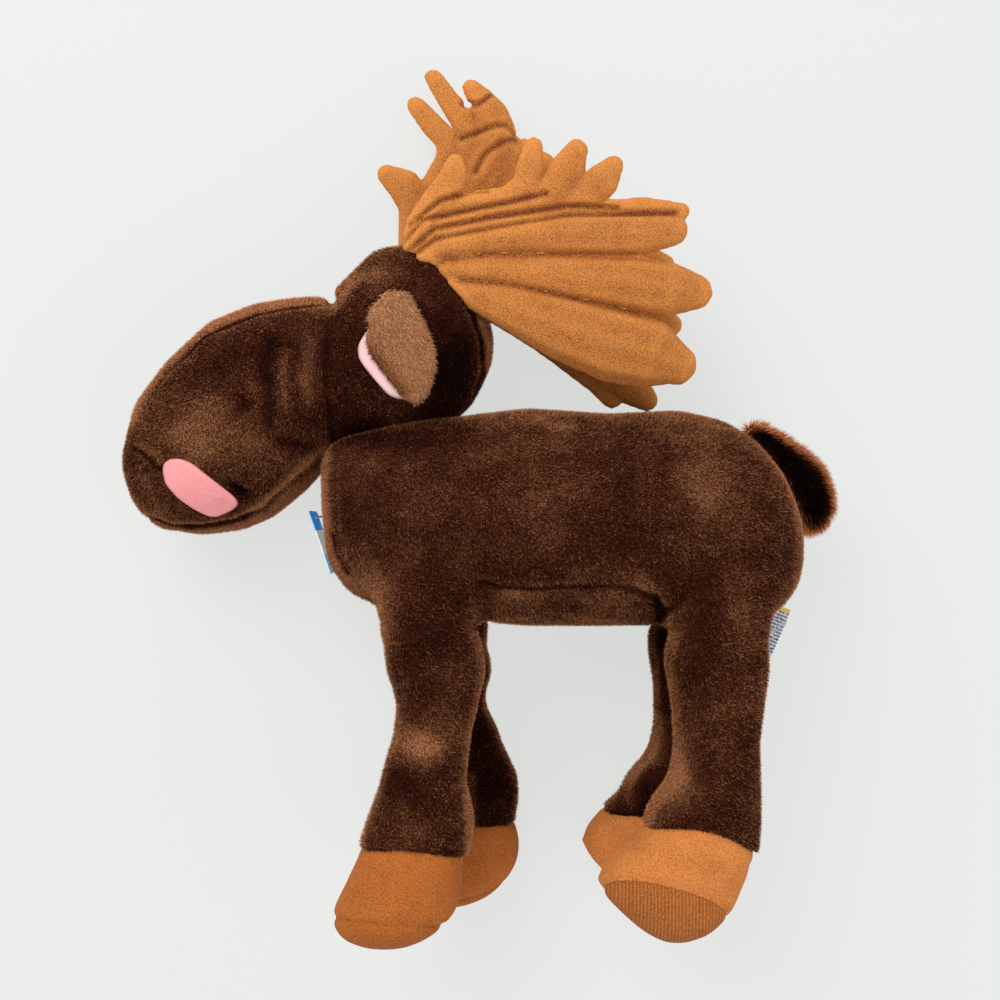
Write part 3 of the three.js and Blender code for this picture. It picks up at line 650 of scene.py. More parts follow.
# %% Blow the body up between its seams
BELLY_SEAM = [(1, -42), (10, -44), (22, -45), (41, -44), (52, -43.5), (60, -44)]
BELLY_SEAM += [(70, -46.5), (77, -50), (82, -56)]
CHEST_SEAM = [(-64, 14), (-62, -7), (-60, -29), (-52, -45), (-44, -52)]
points = coordinates(body)
pinned = np.minimum.reduce([flat_distance(points, seam) for seam in (BELLY_SEAM, CHEST_SEAM)]) < 0.003
for name, leg in LEGS.items():
    on_leg = np.abs(points[:, 2] - leg["middle"] / 1000) < 0.03
    pinned |= (flat_distance(points, seam_line(name)) < 0.003) & on_leg
pinned |= points[:, 2] < 0.002
inflated(body, pinned)
apply_modifier(body, "SMOOTH", factor=0.5, iterations=3)
apply_modifier(body, "SUBSURF", levels=1, render_levels=1)

# %% Ease the shoulders and hips into the side
points = coordinates(body)
for leg in LEGS.values():
    away = np.linalg.norm(points[:, :2] - np.array(leg["hip"]) / 1000, axis=1)
    on_side = (np.abs(points[:, 2] - leg["middle"] / 1000) < 0.028) & (points[:, 1] > -0.062)
    eased(body, np.exp(-(((away - 0.024) / 0.011) ** 2)) * on_side, 40)
bulged(body, (-66, 15, 50), 0.0035, (12, 14, 34))

# %% Seams, folds and dents of the body
pulled_in(body, BELLY_SEAM, 0.0010, 0.0018)
pulled_in(body, CHEST_SEAM, 0.0005, 0.0018)
pulled_in(body, [(76, -49), (79, -55), (80, -60)], 0.0030, 0.0022)
pulled_in(body, [(80, -60), (84, -54), (88, -50)], 0.0022, 0.0022)
pulled_in(body, [(56, -39), (64, -42), (71, -47)], 0.0008, 0.0018)
pulled_in(body, [(3, -45), (4, -54), (1, -62)], 0.0022, 0.004)
pulled_in(body, [(-8, 20), (12, 15), (30, 18)], 0.0012, 0.006)
pulled_in(body, [(-46, -108), (-30, -112), (-14, -108)], 0.0014, 0.006)
pulled_in(body, [(-38, -86), (-24, -90), (-8, -86)], 0.0012, 0.006)
pulled_in(body, [(78, -112), (92, -120), (112, -112)], 0.0014, 0.006)
pulled_in(body, [(76, -82), (90, -86), (112, -80)], 0.0010, 0.006)
bulged(body, (-30, -72, 103), 0.0012, (18, 14, 20))
bulged(body, (-34, -134, 100), 0.0010, (16, 14, 20))
bulged(body, (98, -98, 103), 0.0010, (18, 14, 20))
bulged(body, (64, -150, 22), 0.0040, (9, 12, 20))
bulged(body, (8, -76, 21), -0.0056, (10, 11, 24))
bulged(body, (9, -102, 21), -0.0060, (10, 14, 24))


# %% Cut the skin into pieces
def cut_from(name, source, cuts, inside=None):
    """A closed piece of a skin: what lies behind all cutting planes, in parts centred inside a box."""
    shape = bmesh.new()
    shape.from_mesh(source.data)
    for place, facing in cuts:
        geometry = shape.verts[:] + shape.edges[:] + shape.faces[:]
        bmesh.ops.bisect_plane(shape, geom=geometry, plane_co=place, plane_no=facing, clear_outer=True)
    if inside:
        # The cut leaves the points of its own ring tagged, and they go with the parts outside the box.
        low, high = inside
        for part in parts_of(shape):
            centre = sum((vert.co for vert in part), Vector()) / len(part)
            if not all(low[i] <= centre[i] <= high[i] for i in range(3)):
                for vert in part:
                    vert.tag = True
        bmesh.ops.delete(shape, geom=[vert for vert in shape.verts if vert.tag], context="VERTS")
    edges = [edge for edge in shape.edges if edge.is_boundary]
    bmesh.ops.holes_fill(shape, edges=edges, sides=0)
    bmesh.ops.triangulate(shape, faces=[face for face in shape.faces if len(face.verts) > 4])
    bmesh.ops.recalc_face_normals(shape, faces=shape.faces)
    return new_piece(name, shape)


HIP_CUT = -0.0675
torso = cut_from("torso_plush", body, [((0, HIP_CUT, 0), (0, -1, 0))])
skins = {"torso": torso}
hooves = {}


def arched(piece, start, end, rise):
    """Shift the points across a seam along a curve, so that a flat cut becomes an arched one."""
    points = coordinates(piece)
    start, end = np.array(start), np.array(end)
    run = (end - start) / np.linalg.norm(end - start)
    up = np.array((-run[1], run[0]))
    share = (points[:, :2] - (start + end) / 2) @ run / (np.linalg.norm(end - start) / 2)
    points[:, :2] += (rise * (1 - np.clip(share, -1, 1) ** 2))[:, None] * up
    set_coordinates(piece, points)


for name, leg in LEGS.items():
    (x1, y1), (x2, y2), rise = HOOF_SEAMS[name]
    hip_x, middle = leg["hip"][0] / 1000, leg["middle"] / 1000
    low = (hip_x - 0.075, -0.3, middle - 0.02)
    high = (hip_x + 0.075, 0.1, middle + 0.02)
    place = (x1 / 1000, y1 / 1000, 0)
    down = Vector((y2 - y1, x1 - x2, 0)).normalized()
    limb = cut_from(f"limb_{name}", body, [((0, HIP_CUT, 0), (0, 1, 0))], (low, high))
    ends = (x1 / 1000, y1 / 1000), (x2 / 1000, y2 / 1000)
    arched(limb, *ends, -rise / 1000)
    skins[name] = cut_from(f"leg_{name}_plush", limb, [(place, down)])
    hooves[name] = cut_from(f"hoof_{name}_fleece", limb, [(place, -down)])
    for piece in (skins[name], hooves[name]):
        arched(piece, *ends, rise / 1000)
    points, normals = coordinates(hooves[name]), point_normals(hooves[name])
    away = flat_distance(points, seam_line(name)) * 1000
    swell = 1.6 if name == "hind_left" else 0.6
    lift = swell * np.exp(-(((away - 9) / 6) ** 2)) - 1.5 * np.exp(-((away / 2.2) ** 2))
    set_coordinates(hooves[name], points + normals * (lift / 1000)[:, None])
    bpy.data.objects.remove(limb)
bpy.data.objects.remove(body)
for piece in [*skins.values(), *hooves.values()]:
    points = coordinates(piece) * 1000
    print(piece.name, len(points), "points", points.min(0).round(), points.max(0).round())

# %% [markdown]
# ## Hooves and soles
# Each hoof is one fleece bag with a ribbed sole set into it. The near feet turn a little towards the
# eye, so that the sole shows as a band under a curved seam. The sole is cut from the same skin, and the
# hoof keeps a rolled edge along the seam.

# %% Cut the soles
# A place on the cut from the hip in millimetres, then the tilt and the roll of the cut in degrees
SOLES = {"front": ((-11.6, -134.6), 14.0, -4.0), "hind": ((-22.75, -118.3), 36.0, -16.0)}


def turned(place, leg):
    """Where a place measured from the hip of a leg, in millimetres, lies once the leg is turned."""
    angle = math.radians(leg["turn"])
    hip_x, hip_y = leg["hip"]
    x, y = place
    across = x * math.cos(angle) - y * math.sin(angle)
    up = x * math.sin(angle) + y * math.cos(angle)
    return hip_x + across, hip_y + up


soles = {}
for name, leg in LEGS.items():
    offset, tilt, roll = SOLES[leg["kind"]]
    side = 1 if leg["middle"] > 50 else -1
    place = Vector((*turned(offset, leg), leg["middle"] + side * 22)) / 1000
    facing = Vector((0, 1, 0))
    facing.rotate(Matrix.Rotation(-side * math.radians(tilt), 3, "X"))
    facing.rotate(Matrix.Rotation(math.radians(roll + leg["turn"]), 3, "Z"))
    whole = hooves[name]
    points, normals = coordinates(whole), point_normals(whole)
    away = np.abs((points - np.array(place)) @ np.array(facing))
    set_coordinates(whole, points - normals * (0.0012 * np.exp(-((away / 0.0013) ** 2)))[:, None])
    soles[name] = cut_from(f"hoof_{name}_ribbed_sole", whole, [(place, facing)])
    top = cut_from(f"hoof_{name}_cloth", whole, [(place, -facing)])
    bpy.data.objects.remove(whole)
    hooves[name] = top
print("soles", [len(piece.data.vertices) for piece in soles.values()])

# %% [markdown]
# ## The head
# The head is one stuffed bag with a heavy drooping muzzle. A seam runs round the muzzle behind the
# brow, two soft folds lie across the muzzle, and a narrow gusset follows the top edge and the chin.
# It is made like the body: one closed skin, blown up between its seams and then creased.

# %% Head skin
MUZZLE_SEAM = [(-67, 86), (-66, 70), (-66, 40), (-65, 20), (-64, 13)]
TOP_SEAM = [(-70, 80), (-84, 78), (-98, 75), (-111, 69.5), (-122, 65), (-129, 56)]
TOP_SEAM += [(-138, 49), (-145, 39), (-148, 31)]
CHIN_SEAM = [(-150, -14), (-138, -19), (-124, -19), (-110, -16.5), (-97, -11), (-86, -1), (-71, 12)]
NAPE_SEAM = [(-4, 78), (1, 66), (2, 52), (-3, 38), (-9, 30)]
NOSE_SEAM = [(-152, 16), (-146, 13), (-141, 8), (-137, 6)]
head = copy_of("head_plush", "head_cover", "head_filling")
closed_skin(head, 0.003, swell=0.0012, back=0.0004)
points = coordinates(head)
held = [flat_distance(points, seam) for seam in (MUZZLE_SEAM, TOP_SEAM, CHIN_SEAM, NAPE_SEAM)]
pinned = np.minimum.reduce(held) < 0.0025
pinned |= points[:, 2] < 0.002
inflated(head, pinned)
apply_modifier(head, "SMOOTH", factor=0.5, iterations=3)
apply_modifier(head, "SUBSURF", levels=1, render_levels=1)

# %% Seams, folds and dents of the head
pulled_in(head, MUZZLE_SEAM, 0.0014, 0.0018, side=0)
pulled_in(head, TOP_SEAM, 0.0012, 0.0016)
pulled_in(head, CHIN_SEAM, 0.0018, 0.0016)
pulled_in(head, NAPE_SEAM, 0.0014, 0.0016)
pulled_in(head, NOSE_SEAM, 0.0012, 0.0016)
pulled_in(head, [(-90, 62), (-92, 50), (-90.5, 38), (-91, 26)], 0.0022, 0.0042)
pulled_in(head, [(-79, 58), (-80, 44), (-79, 32)], 0.0007, 0.0024)
pulled_in(head, [(-86, 18), (-72, 16)], 0.0014, 0.004)
pulled_in(head, [(-104, 38), (-100, 32)], 0.0030, 0.0032)
pulled_in(head, [(-110, 2), (-103, -4)], 0.0040, 0.0026)
pulled_in(head, [(-62, 13), (-40, 18), (-8, 24)], 0.0030, 0.005, side=0)
pulled_in(head, [(-72, 92), (-67, 84), (-65, 78)], 0.0036, 0.0030, side=0)
bulged(head, (-110, 20, 84), 0.0012, (22, 22, 30))
print(head.name, len(head.data.vertices), "points")

# %% [markdown]
# ## Antlers
# Each antler is two sheets of fleece sewn together in channels that run out into fingers, with a little
# wadding in each channel. The CAD solid already has the channels as fused tines. The skin is remeshed
# finely, and each stitched line between two channels is pressed in on both faces. How deep each point
# lies in a crease is kept as an attribute, so that the fleece is darkened there as painted shade and
# lightened a little on the ridges as painted light.

# %% Antler skins
# Half width of the press and its depth in millimetres, then the line
CHANNELS = {
    "left": [
        (1.5, 1.3, [(-31, 115.5), (-17, 126), (-3.5, 130.5), (4, 131)]),
        (1.5, 1.3, [(-33, 108.5), (-25, 117.5), (-3, 122.5), (18, 126.5), (30, 129.5)]),
        (1.5, 1.3, [(-31, 104), (-19.5, 114), (4.4, 119), (39.5, 124), (62, 123.5)]),
        (1.6, 1.3, [(-30, 101.5), (-19.5, 109.5), (4.4, 114), (39.5, 120), (88, 121)]),
        (2.8, 0.8, [(-24, 93), (-14.5, 100), (4.4, 101.5), (36, 101.5), (75, 100), (84, 100)]),
        (2.4, 0.8, [(-7.5, 90.5), (8, 89.5), (31, 85), (55, 79.3), (73, 75.3), (82, 73.8)]),
    ],
    "right": [
        (1.8, 1.3, [(-8.5, 166.5), (0, 169.5), (8, 172), (13, 172.5), (17, 169)]),
        (2.2, 1.3, [(-1.8, 150), (1.6, 156.8), (6, 160.7), (12, 164), (17, 166)]),
        (1.6, 1.2, [(-8, 183), (-5, 183.6), (-1.8, 182.3), (2.3, 184.5), (5.5, 187.8)]),
    ],
}


def store(piece, name, values):
    """Keep one number at each point of a mesh, for the materials."""
    attribute = piece.data.attributes.new(name, "FLOAT", "POINT")
    attribute.data.foreach_set("value", np.ascontiguousarray(values, np.float32))


def keep_creases(piece, reach, full):
    """Store how deep each point lies under the skin round it. full is the depth that counts as 1."""
    points = coordinates(piece)
    smooth = neighbours_mean(piece, points, reach)
    depth = ((smooth - points) * point_normals(piece)).sum(1)
    store(piece, "crease_shade", np.clip(depth / full, -0.3, 1))


antlers = {}
for side, channels in CHANNELS.items():
    antler = copy_of(f"antler_{side}_fleece", f"antler_{side}")
    closed_skin(antler, 0.0013)
    apply_modifier(antler, "SMOOTH", factor=0.5, iterations=9)
    set_coordinates(antler, coordinates(antler) + point_normals(antler) * 0.0012)
    apply_modifier(antler, "SUBSURF", levels=1, render_levels=1)
    for width, depth, line in channels:
        pulled_in(antler, line, depth / 1000, width / 1000, side=0)
        pulled_in(antler, line, 0.0003, 0.0010, side=0)
    points = coordinates(antler)
    points[:, 1] = np.where(points[:, 1] > 0.185, 0.185 + (points[:, 1] - 0.185) * 0.85, points[:, 1])
    set_coordinates(antler, points)
    keep_creases(antler, 30, 0.0026)
    antler.data.materials.append(antler_fleece)
    antlers[side] = antler
    print(antler.name, len(antler.data.vertices), "points")

# %% [markdown]
# ## Ears and nostrils
# An ear is plush outside and pink felt inside, sewn together round the edge and cupped, so that a strip
# of the felt shows along the front edge. The nostrils are felt patches sewn flat on the muzzle. Felt
# starts as a sphere pressed flat to an outline, which gives it the rounded edge of a thick cut cloth.

# %% Flat pieces of felt
def flat_felt(name, outline):
    """A sphere pressed to an outline in millimetres, with the place, rim share and face of each point."""
    clear_selection()
    bpy.ops.mesh.primitive_uv_sphere_add(segments=96, ring_count=32, radius=1)
    patch = bpy.context.object
    patch.name = name
    points = coordinates(patch)
    corners = np.array(outline)
    runs = np.linspace(0, 1, 12, endpoint=False)[None, :, None]
    outline = (corners[:, None] * (1 - runs) + np.roll(corners, -1, 0)[:, None] * runs).reshape(-1, 2)
    for _ in range(10):
        outline = (np.roll(outline, 1, 0) + outline + np.roll(outline, -1, 0)) / 3
    centre = outline.mean(0)
    spokes = outline - centre
    turns = np.arctan2(spokes[:, 1], spokes[:, 0])
    order = np.argsort(turns)
    wanted = np.arctan2(points[:, 1], points[:, 0])
    radius = np.interp(wanted, turns[order], np.hypot(*spokes.T)[order], period=2 * np.pi)
    share = np.arccos(np.clip(np.abs(points[:, 2]), 0, 1)) / (np.pi / 2)
    around = np.hypot(points[:, 0], points[:, 1]) + 1e-9
    place = (centre + points[:, :2] / around[:, None] * (share * radius)[:, None]) / 1000
    return patch, place, np.minimum(share, 1), points[:, 2]


# %% Ears and linings
EAR_EDGE = [(-46.5, 70), (-48.2, 65), (-48.4, 60.3), (-47, 55.9)]
EAR_EDGE += [(-43.6, 50.9), (-39.4, 45.4), (-35.4, 40.4), (-33, 37)]
LINING = [(-45, 72), (-47.6, 67), (-49.5, 65), (-52.2, 61), (-52.6, 58), (-52, 54.4)]
LINING += [(-49.2, 50.4), (-45.2, 45.5), (-41.7, 41.4), (-38.4, 38), (-34, 36.4), (-28, 38)]
LINING += [(-23, 44), (-21, 54), (-22, 65), (-26, 74), (-33, 79), (-40, 77)]
# Height of the middle of each lining over the table in metres
LINING_MIDDLE = {"left": 0.0811, "right": 0.0059}


def edged(piece, line):
    """Shift the front edge of a flat piece onto a line seen from above in millimetres."""
    points = coordinates(piece) * 1000
    rows = np.arange(points[:, 1].min() + 1, points[:, 1].max() - 1)
    near = [points[np.abs(points[:, 1] - row) < 1.2][:, 0] for row in rows]
    front = np.interp(points[:, 1], rows, [one.min() for one in near])
    back = np.interp(points[:, 1], rows, [one.max() for one in near])
    line = np.array(line[::-1])
    wanted = np.interp(points[:, 1], line[:, 1], line[:, 0])
    share = np.clip((back - points[:, 0]) / (back - front), 0, 1)
    share *= np.clip(np.minimum(points[:, 1] - line[0, 1], line[-1, 1] - points[:, 1]) / 3 + 0.5, 0, 1)
    points[:, 0] += (wanted - front) * share
    set_coordinates(piece, points / 1000)


def cupped(piece):
    """Cup a piece of the near ear along its length and lift its lower end."""
    points = coordinates(piece)
    down = np.clip((84.7 - points[:, 1] * 1000) / 50, 0, 1)
    across = (points[:, 0] * 1000 + 34 - down * 5) / 17
    points[:, 2] += 0.0035 * np.sin(np.pi * down) * (1 - across**2) + 0.002 * down
    set_coordinates(piece, points)


ears, linings = {}, {}
for side, middle in LINING_MIDDLE.items():
    ear = copy_of(f"ear_{side}_plush", f"ear_{side}")
    closed_skin(ear, 0.0013)
    apply_modifier(ear, "SMOOTH", factor=0.5, iterations=4)
    edged(ear, EAR_EDGE)
    lining, place, share, face = flat_felt(f"ear_{side}_felt", LINING)
    high = middle + np.sign(face) * 0.0014 * np.sqrt(1 - share**8)
    set_coordinates(lining, np.column_stack([place, high]))
    lining.data.materials.append(pale_felt)
    ears[side], linings[side] = ear, lining
cupped(ears["left"])
cupped(linings["left"])
print("ear", len(ears["left"].data.vertices), "lining", len(linings["left"].data.vertices), "points")

# %% Nostril patches
NOSTRIL = [(-137.6, 5.9), (-136.7, 9), (-133.6, 10.8), (-128.8, 10.8), (-123.5, 8.6)]
NOSTRIL += [(-115.2, 1.6), (-106.9, -5.9), (-105.6, -9), (-108.6, -11.6), (-112.2, -13.3)]
NOSTRIL += [(-115.7, -14.7), (-119.2, -14.7), (-124.4, -12), (-131.4, -6.8), (-136.7, -0.2)]


def felt_patch(name, skin, outline, side):
    """A felt patch that lies on a skin."""
    patch, place, share, face = flat_felt(name, outline)
    faces = [face.vertices[:] for face in skin.data.polygons]
    tree = BVHTree.FromPolygons(coordinates(skin).tolist(), faces)
    ground = np.array([tree.ray_cast(Vector((x, y, side)), Vector((0, 0, -side)))[0].z for x, y in place])
    ground = neighbours_mean(patch, ground, 12)
    crown, hollow = 0.0013 * np.sqrt(1 - share**6), 0.0016 * (1 - share**4)
    rise = 0.0008 + np.where(face * side > 0, crown, -hollow)
    set_coordinates(patch, np.column_stack([place, ground + side * rise]))
    return patch


nostrils = {}
for side, way in (("left", 1), ("right", -1)):
    nostrils[side] = felt_patch(f"nostril_{side}_felt", head, NOSTRIL, way)
    nostrils[side].data.materials.append(pink_felt)
print("patches", [len(patch.data.vertices) for patch in nostrils.values()])

# %% [markdown]
# ## Tail
# The tail is a small stuffed flap of the same plush with a longer pile, which stands out at its edge.
# A smoothed copy of its solid is enough, because the long pile hides its seam.

# %% Tail skin
tail = copy_of("tail_plush", "tail")
closed_skin(tail, 0.002)
apply_modifier(tail, "SMOOTH", factor=0.5, iterations=4)
set_coordinates(tail, coordinates(tail) - point_normals(tail) * 0.0014)
print(tail.name, len(tail.data.vertices), "points")

# %% [markdown]
# ## Pile
# Plush is a knitted ground with cut fibres standing in it. Colour alone would look like paint, so the
# pile is made as many thin closed tufts, four faces each, set into the skin at an even density and all
# laid the way the cloth was brushed. Each tuft keeps its height from root to tip and the nap, with its
# painted light and shade, of the place that it grows from. Where the skin is sunk, at a seam or a fold,
# the pile lies lower and is darkened as painted shade.

# %% Nap and painted light: where the pile is drawn pale or dark
# A spot is a place seen from above in millimetres, its two reaches, its turn in degrees and its amount.
# Some spots are the nap and tone of the cloth, and some are painted light and shade, such as the dark
# spots in the dents of the muzzle and along the fold where the head lies on the torso.
NAP_LIGHT_AND_SHADE_SPOTS = [
    (30, -3, 24, 22, 25, 0.12),
    (14, 18, 20, 10, 0, 0.08),
    (-30, 0, 20, 30, 0, 0.04),
    (-40, 10, 14, 10, 0, 0.08),
    (70, 4, 26, 20, -20, -0.04),
    (98, 2, 18, 26, 10, 0.28),
    (60, -18, 30, 10, 0, -0.06),
    (18, -48.5, 12, 4, 0, 0.22),
    (54, -50, 12, 5, -10, 0.16),
    (42, -40, 7, 4, 20, 0.16),
    (72, -43, 7, 4, -30, 0.20),
    (20, -36, 16, 5, 0, -0.08),
    (-48, 89, 11, 9, 40, 0.14),
    (-58, 86, 3, 8, -30, 0.40),
    (-46, -46, 11, 16, 20, 0.30),
    (-16, -54, 10, 16, 0, -0.12),
    (-18, -67, 13, 8, 0, -0.16),
    (-7, -79, 8, 6, 0, 0.12),
    (-42, -66, 5, 12, 0, 0.20),
    (-24, -111, 10, 8, -15, 0.54),
    (-12, -100, 8, 14, 0, 0.10),
    (-30, -128, 20, 12, 0, -0.10),
    (-34, -146, 16, 8, 0, 0.12),
    (112, -60, 8, 26, 10, 0.18),
    (96, -58, 12, 20, 0, -0.10),
    (84, -126, 7, 13, -10, 0.40),
    (102, -96, 12, 12, 0, 0.08),
    (96, -76, 22, 8, 0, -0.08),
    (-120, 24, 22, 15, 0, 0.32),
    (-106, 16, 26, 10, 0, 0.12),
    (-112, 54, 18, 8, 30, -0.10),
    (-146, -4, 10, 14, 0, 0.20),
    (-55, 80, 14, 12, 0, -0.06),
    (-57, 45, 12, 18, 0, -0.12),
    (-10, 52, 14, 26, 0, -0.45),
    (-40, 22, 30, 8, 0, -0.40),
    (-45, 92, 14, 5, 0, 0.14),
    (-66, 84, 5, 5, 0, 0.45),
    (-106, -2, 3.6, 2.4, -35, -0.70),
    (-102, 35, 4, 5, 0, -0.30),
]
BROW_RIM = [(-68, 83), (-84, 81.5), (-101, 78.5), (-116, 73), (-130, 63), (-142, 52)]
BROW_RIM += [(-150, 40), (-153, 30)]
CHIN_RIM = [(-70, 13), (-81, 3), (-94, -8.5), (-106, -17), (-119, -20), (-132, -21.5), (-145, -18)]
CHIN_RIM += [(-154, -11), (-160, -1)]
# Lines seen from above in millimetres with a half width and an amount. Seams are dark. Dark lines
# along folds are painted shade, and most pale lines, along the brow, the chin, the nape, the chest and
# the rump, are painted rim light and painted highlights.
SEAM_AND_PAINTED_LIGHT_LINES = [
    (BROW_RIM, 3.8, 0.58),
    (TOP_SEAM[:6], 0.9, -0.40),
    ([(-66, 74), (-66, 40), (-65, 20)], 1.4, -0.14),
    ([(-90, 62), (-92, 50), (-90.5, 38), (-91, 26)], 3.4, -0.24),
    ([(-73, 62), (-75, 48), (-74, 36)], 3.0, 0.20),
    ([(-83.5, 56), (-84.5, 44), (-83, 34)], 2.0, 0.22),
    ([(-86, 18), (-72, 16)], 3.0, -0.20),
    ([(-70, 15), (-78, 9.5), (-89, -3), (-101, -12)], 2.6, 0.26),
    (CHIN_RIM, 1.5, 0.30),
    (CHIN_SEAM, 0.9, -0.50),
    (NOSE_SEAM, 0.8, -0.40),
    ([(-148, 17), (-142, 14), (-138, 10)], 1.4, 0.20),
    ([(0, 76), (4, 64), (5, 50), (0, 38), (-6, 30)], 1.8, 0.50),
    (NAPE_SEAM, 0.9, -0.30),
    (BELLY_SEAM, 0.9, -0.28),
    ([(10, -46.5), (22, -47.5), (41, -46.5)], 1.4, 0.10),
    ([(-68, 14), (-68, -7), (-65, -29), (-57, -45), (-50, -52)], 3.0, 0.42),
    ([(-64, -22), (-62, -31), (-57.5, -39)], 1.2, -0.40),
    ([(132, 14), (139, 2), (142, -10), (145, -28), (142, -48), (137, -60)], 7.0, 0.34),
    ([(-4, -136), (-3, -161)], 2.2, 0.50),
    ([(-51, -150), (-52, -160)], 2.4, 0.44),
    ([(71, -150), (74, -136), (79, -128)], 3.4, 0.36),
    ([(77, -51), (79, -55), (80, -60)], 1.8, -0.45),
    ([(80, -60), (84, -54)], 1.4, -0.35),
    ([(26, 28), (34, 24), (41, 25)], 2.4, 0.26),
]


def nap_and_painted_light_at(points, normals):
    """How pale the pile is drawn, from 0 to 1, at each point: nap and tone, with painted light and shade.
    """
    flat = points[:, :2] * 1000
    nap_tone_and_painted_light = np.full(len(points), 0.38)
    for x, y, wide, tall, degrees, amount in NAP_LIGHT_AND_SHADE_SPOTS:
        angle = math.radians(degrees)
        away = flat - (x, y)
        along = (away[:, 0] * math.cos(angle) + away[:, 1] * math.sin(angle)) / wide
        across = (-away[:, 0] * math.sin(angle) + away[:, 1] * math.cos(angle)) / tall
        nap_tone_and_painted_light += amount * np.exp(-(along**2 + across**2))
    for line, width, amount in SEAM_AND_PAINTED_LIGHT_LINES:
        nap_tone_and_painted_light += amount * np.exp(-((flat_distance(points, line) * 1000 / width) ** 2))
    # Points that face sideways, at the outline, are drawn paler: painted rim light.
    edge = 1 - np.clip(np.abs(normals[:, 2]), 0, 1)
    # The upturned inner faces of the far legs are drawn darker: painted shade.
    below = np.clip((0.05 - points[:, 2]) / 0.01, 0, 1) * np.clip((-0.06 - points[:, 1]) / 0.012, 0, 1)
    nap_tone_and_painted_light -= 0.30 * below * np.clip(normals[:, 2] * 2, 0, 1)
    return np.clip(nap_tone_and_painted_light + 0.62 * edge**2, 0, 1)


# %% Growing the pile
def tuft_mesh(name, verts, naps_with_painted_light, material):
    """One object of tufts, each with four corners and four faces."""
    count = len(verts)
    faces = np.array([[0, 2, 1], [0, 1, 3], [1, 2, 3], [2, 0, 3]])
    corner_index = (faces[None] + (np.arange(count) * 4)[:, None, None]).reshape(-1)
    data = bpy.data.meshes.new(name)
    data.vertices.add(count * 4)
    data.vertices.foreach_set("co", verts.ravel())
    data.loops.add(count * 12)
    data.loops.foreach_set("vertex_index", corner_index.astype(np.int32))
    data.polygons.add(count * 4)
    data.polygons.foreach_set("loop_start", np.arange(count * 4, dtype=np.int32) * 3)
    data.update(calc_edges=True)
    data.validate()
    pile = bpy.data.objects.new(name, data)
    scene.collection.objects.link(pile)
    store(pile, "nap_tone_and_painted_light", np.repeat(naps_with_painted_light, 4))
    store(pile, "tip", np.tile([0.25, 0.25, 0.25, 1.0], count))
    data.materials.append(material)
    return pile


def scattered(skin, gap, rng):
    """Places spread evenly over a skin, with the way it faces and how deep it is sunk at each."""
    skin.data.calc_loop_triangles()
    corners = np.empty(len(skin.data.loop_triangles) * 3, np.int32)
    skin.data.loop_triangles.foreach_get("vertices", corners)
    corners = corners.reshape(-1, 3)
    points, normals = coordinates(skin), point_normals(skin)
    a, b, c = (points[corners[:, i]] for i in range(3))
    areas = np.linalg.norm(np.cross(b - a, c - a), axis=1) / 2
    count = int(areas.sum() / gap**2)
    reached = (np.arange(count) + rng.random(count)) / count * areas.sum()
    chosen = corners[np.minimum(np.searchsorted(np.cumsum(areas), reached), len(corners) - 1)]
    u, v = rng.random(count), rng.random(count)
    over = u + v > 1
    u[over], v[over] = 1 - u[over], 1 - v[over]
    shares = np.stack([1 - u - v, u, v], 1)
    at = (points[chosen] * shares[:, :, None]).sum(1)
    up = (normals[chosen] * shares[:, :, None]).sum(1)
    up /= np.maximum(np.linalg.norm(up, axis=1), 1e-9)[:, None]
    depth = ((neighbours_mean(skin, points, 6) - points) * normals).sum(1)
    return at, up, depth[chosen].mean(1)


def beside(piece, places, room):
    """Which places lie nearer to a piece than the room that is left round it."""
    points = coordinates(piece)
    tree = KDTree(len(points))
    for index, point in enumerate(points):
        tree.insert(point, index)
    tree.balance()
    near = ((places > points.min(0) - room) & (places < points.max(0) + room)).all(1)
    for index in np.nonzero(near)[0]:
        near[index] = tree.find(places[index])[2] < room
    return near


# Lowest place that carries a tuft, and lowest point of a tuft, in metres over the table
LOWEST_TUFT, LOWEST_POINT = 0.0005, 0.0002
# How far the foot of a tuft is set in, and how deep a seam or fold lies where pile is shortest and
# where it is darkest as painted shade
FOOT_DEPTH, SHORT_DEPTH, DARK_DEPTH = 0.0002, 0.0012, 0.0008


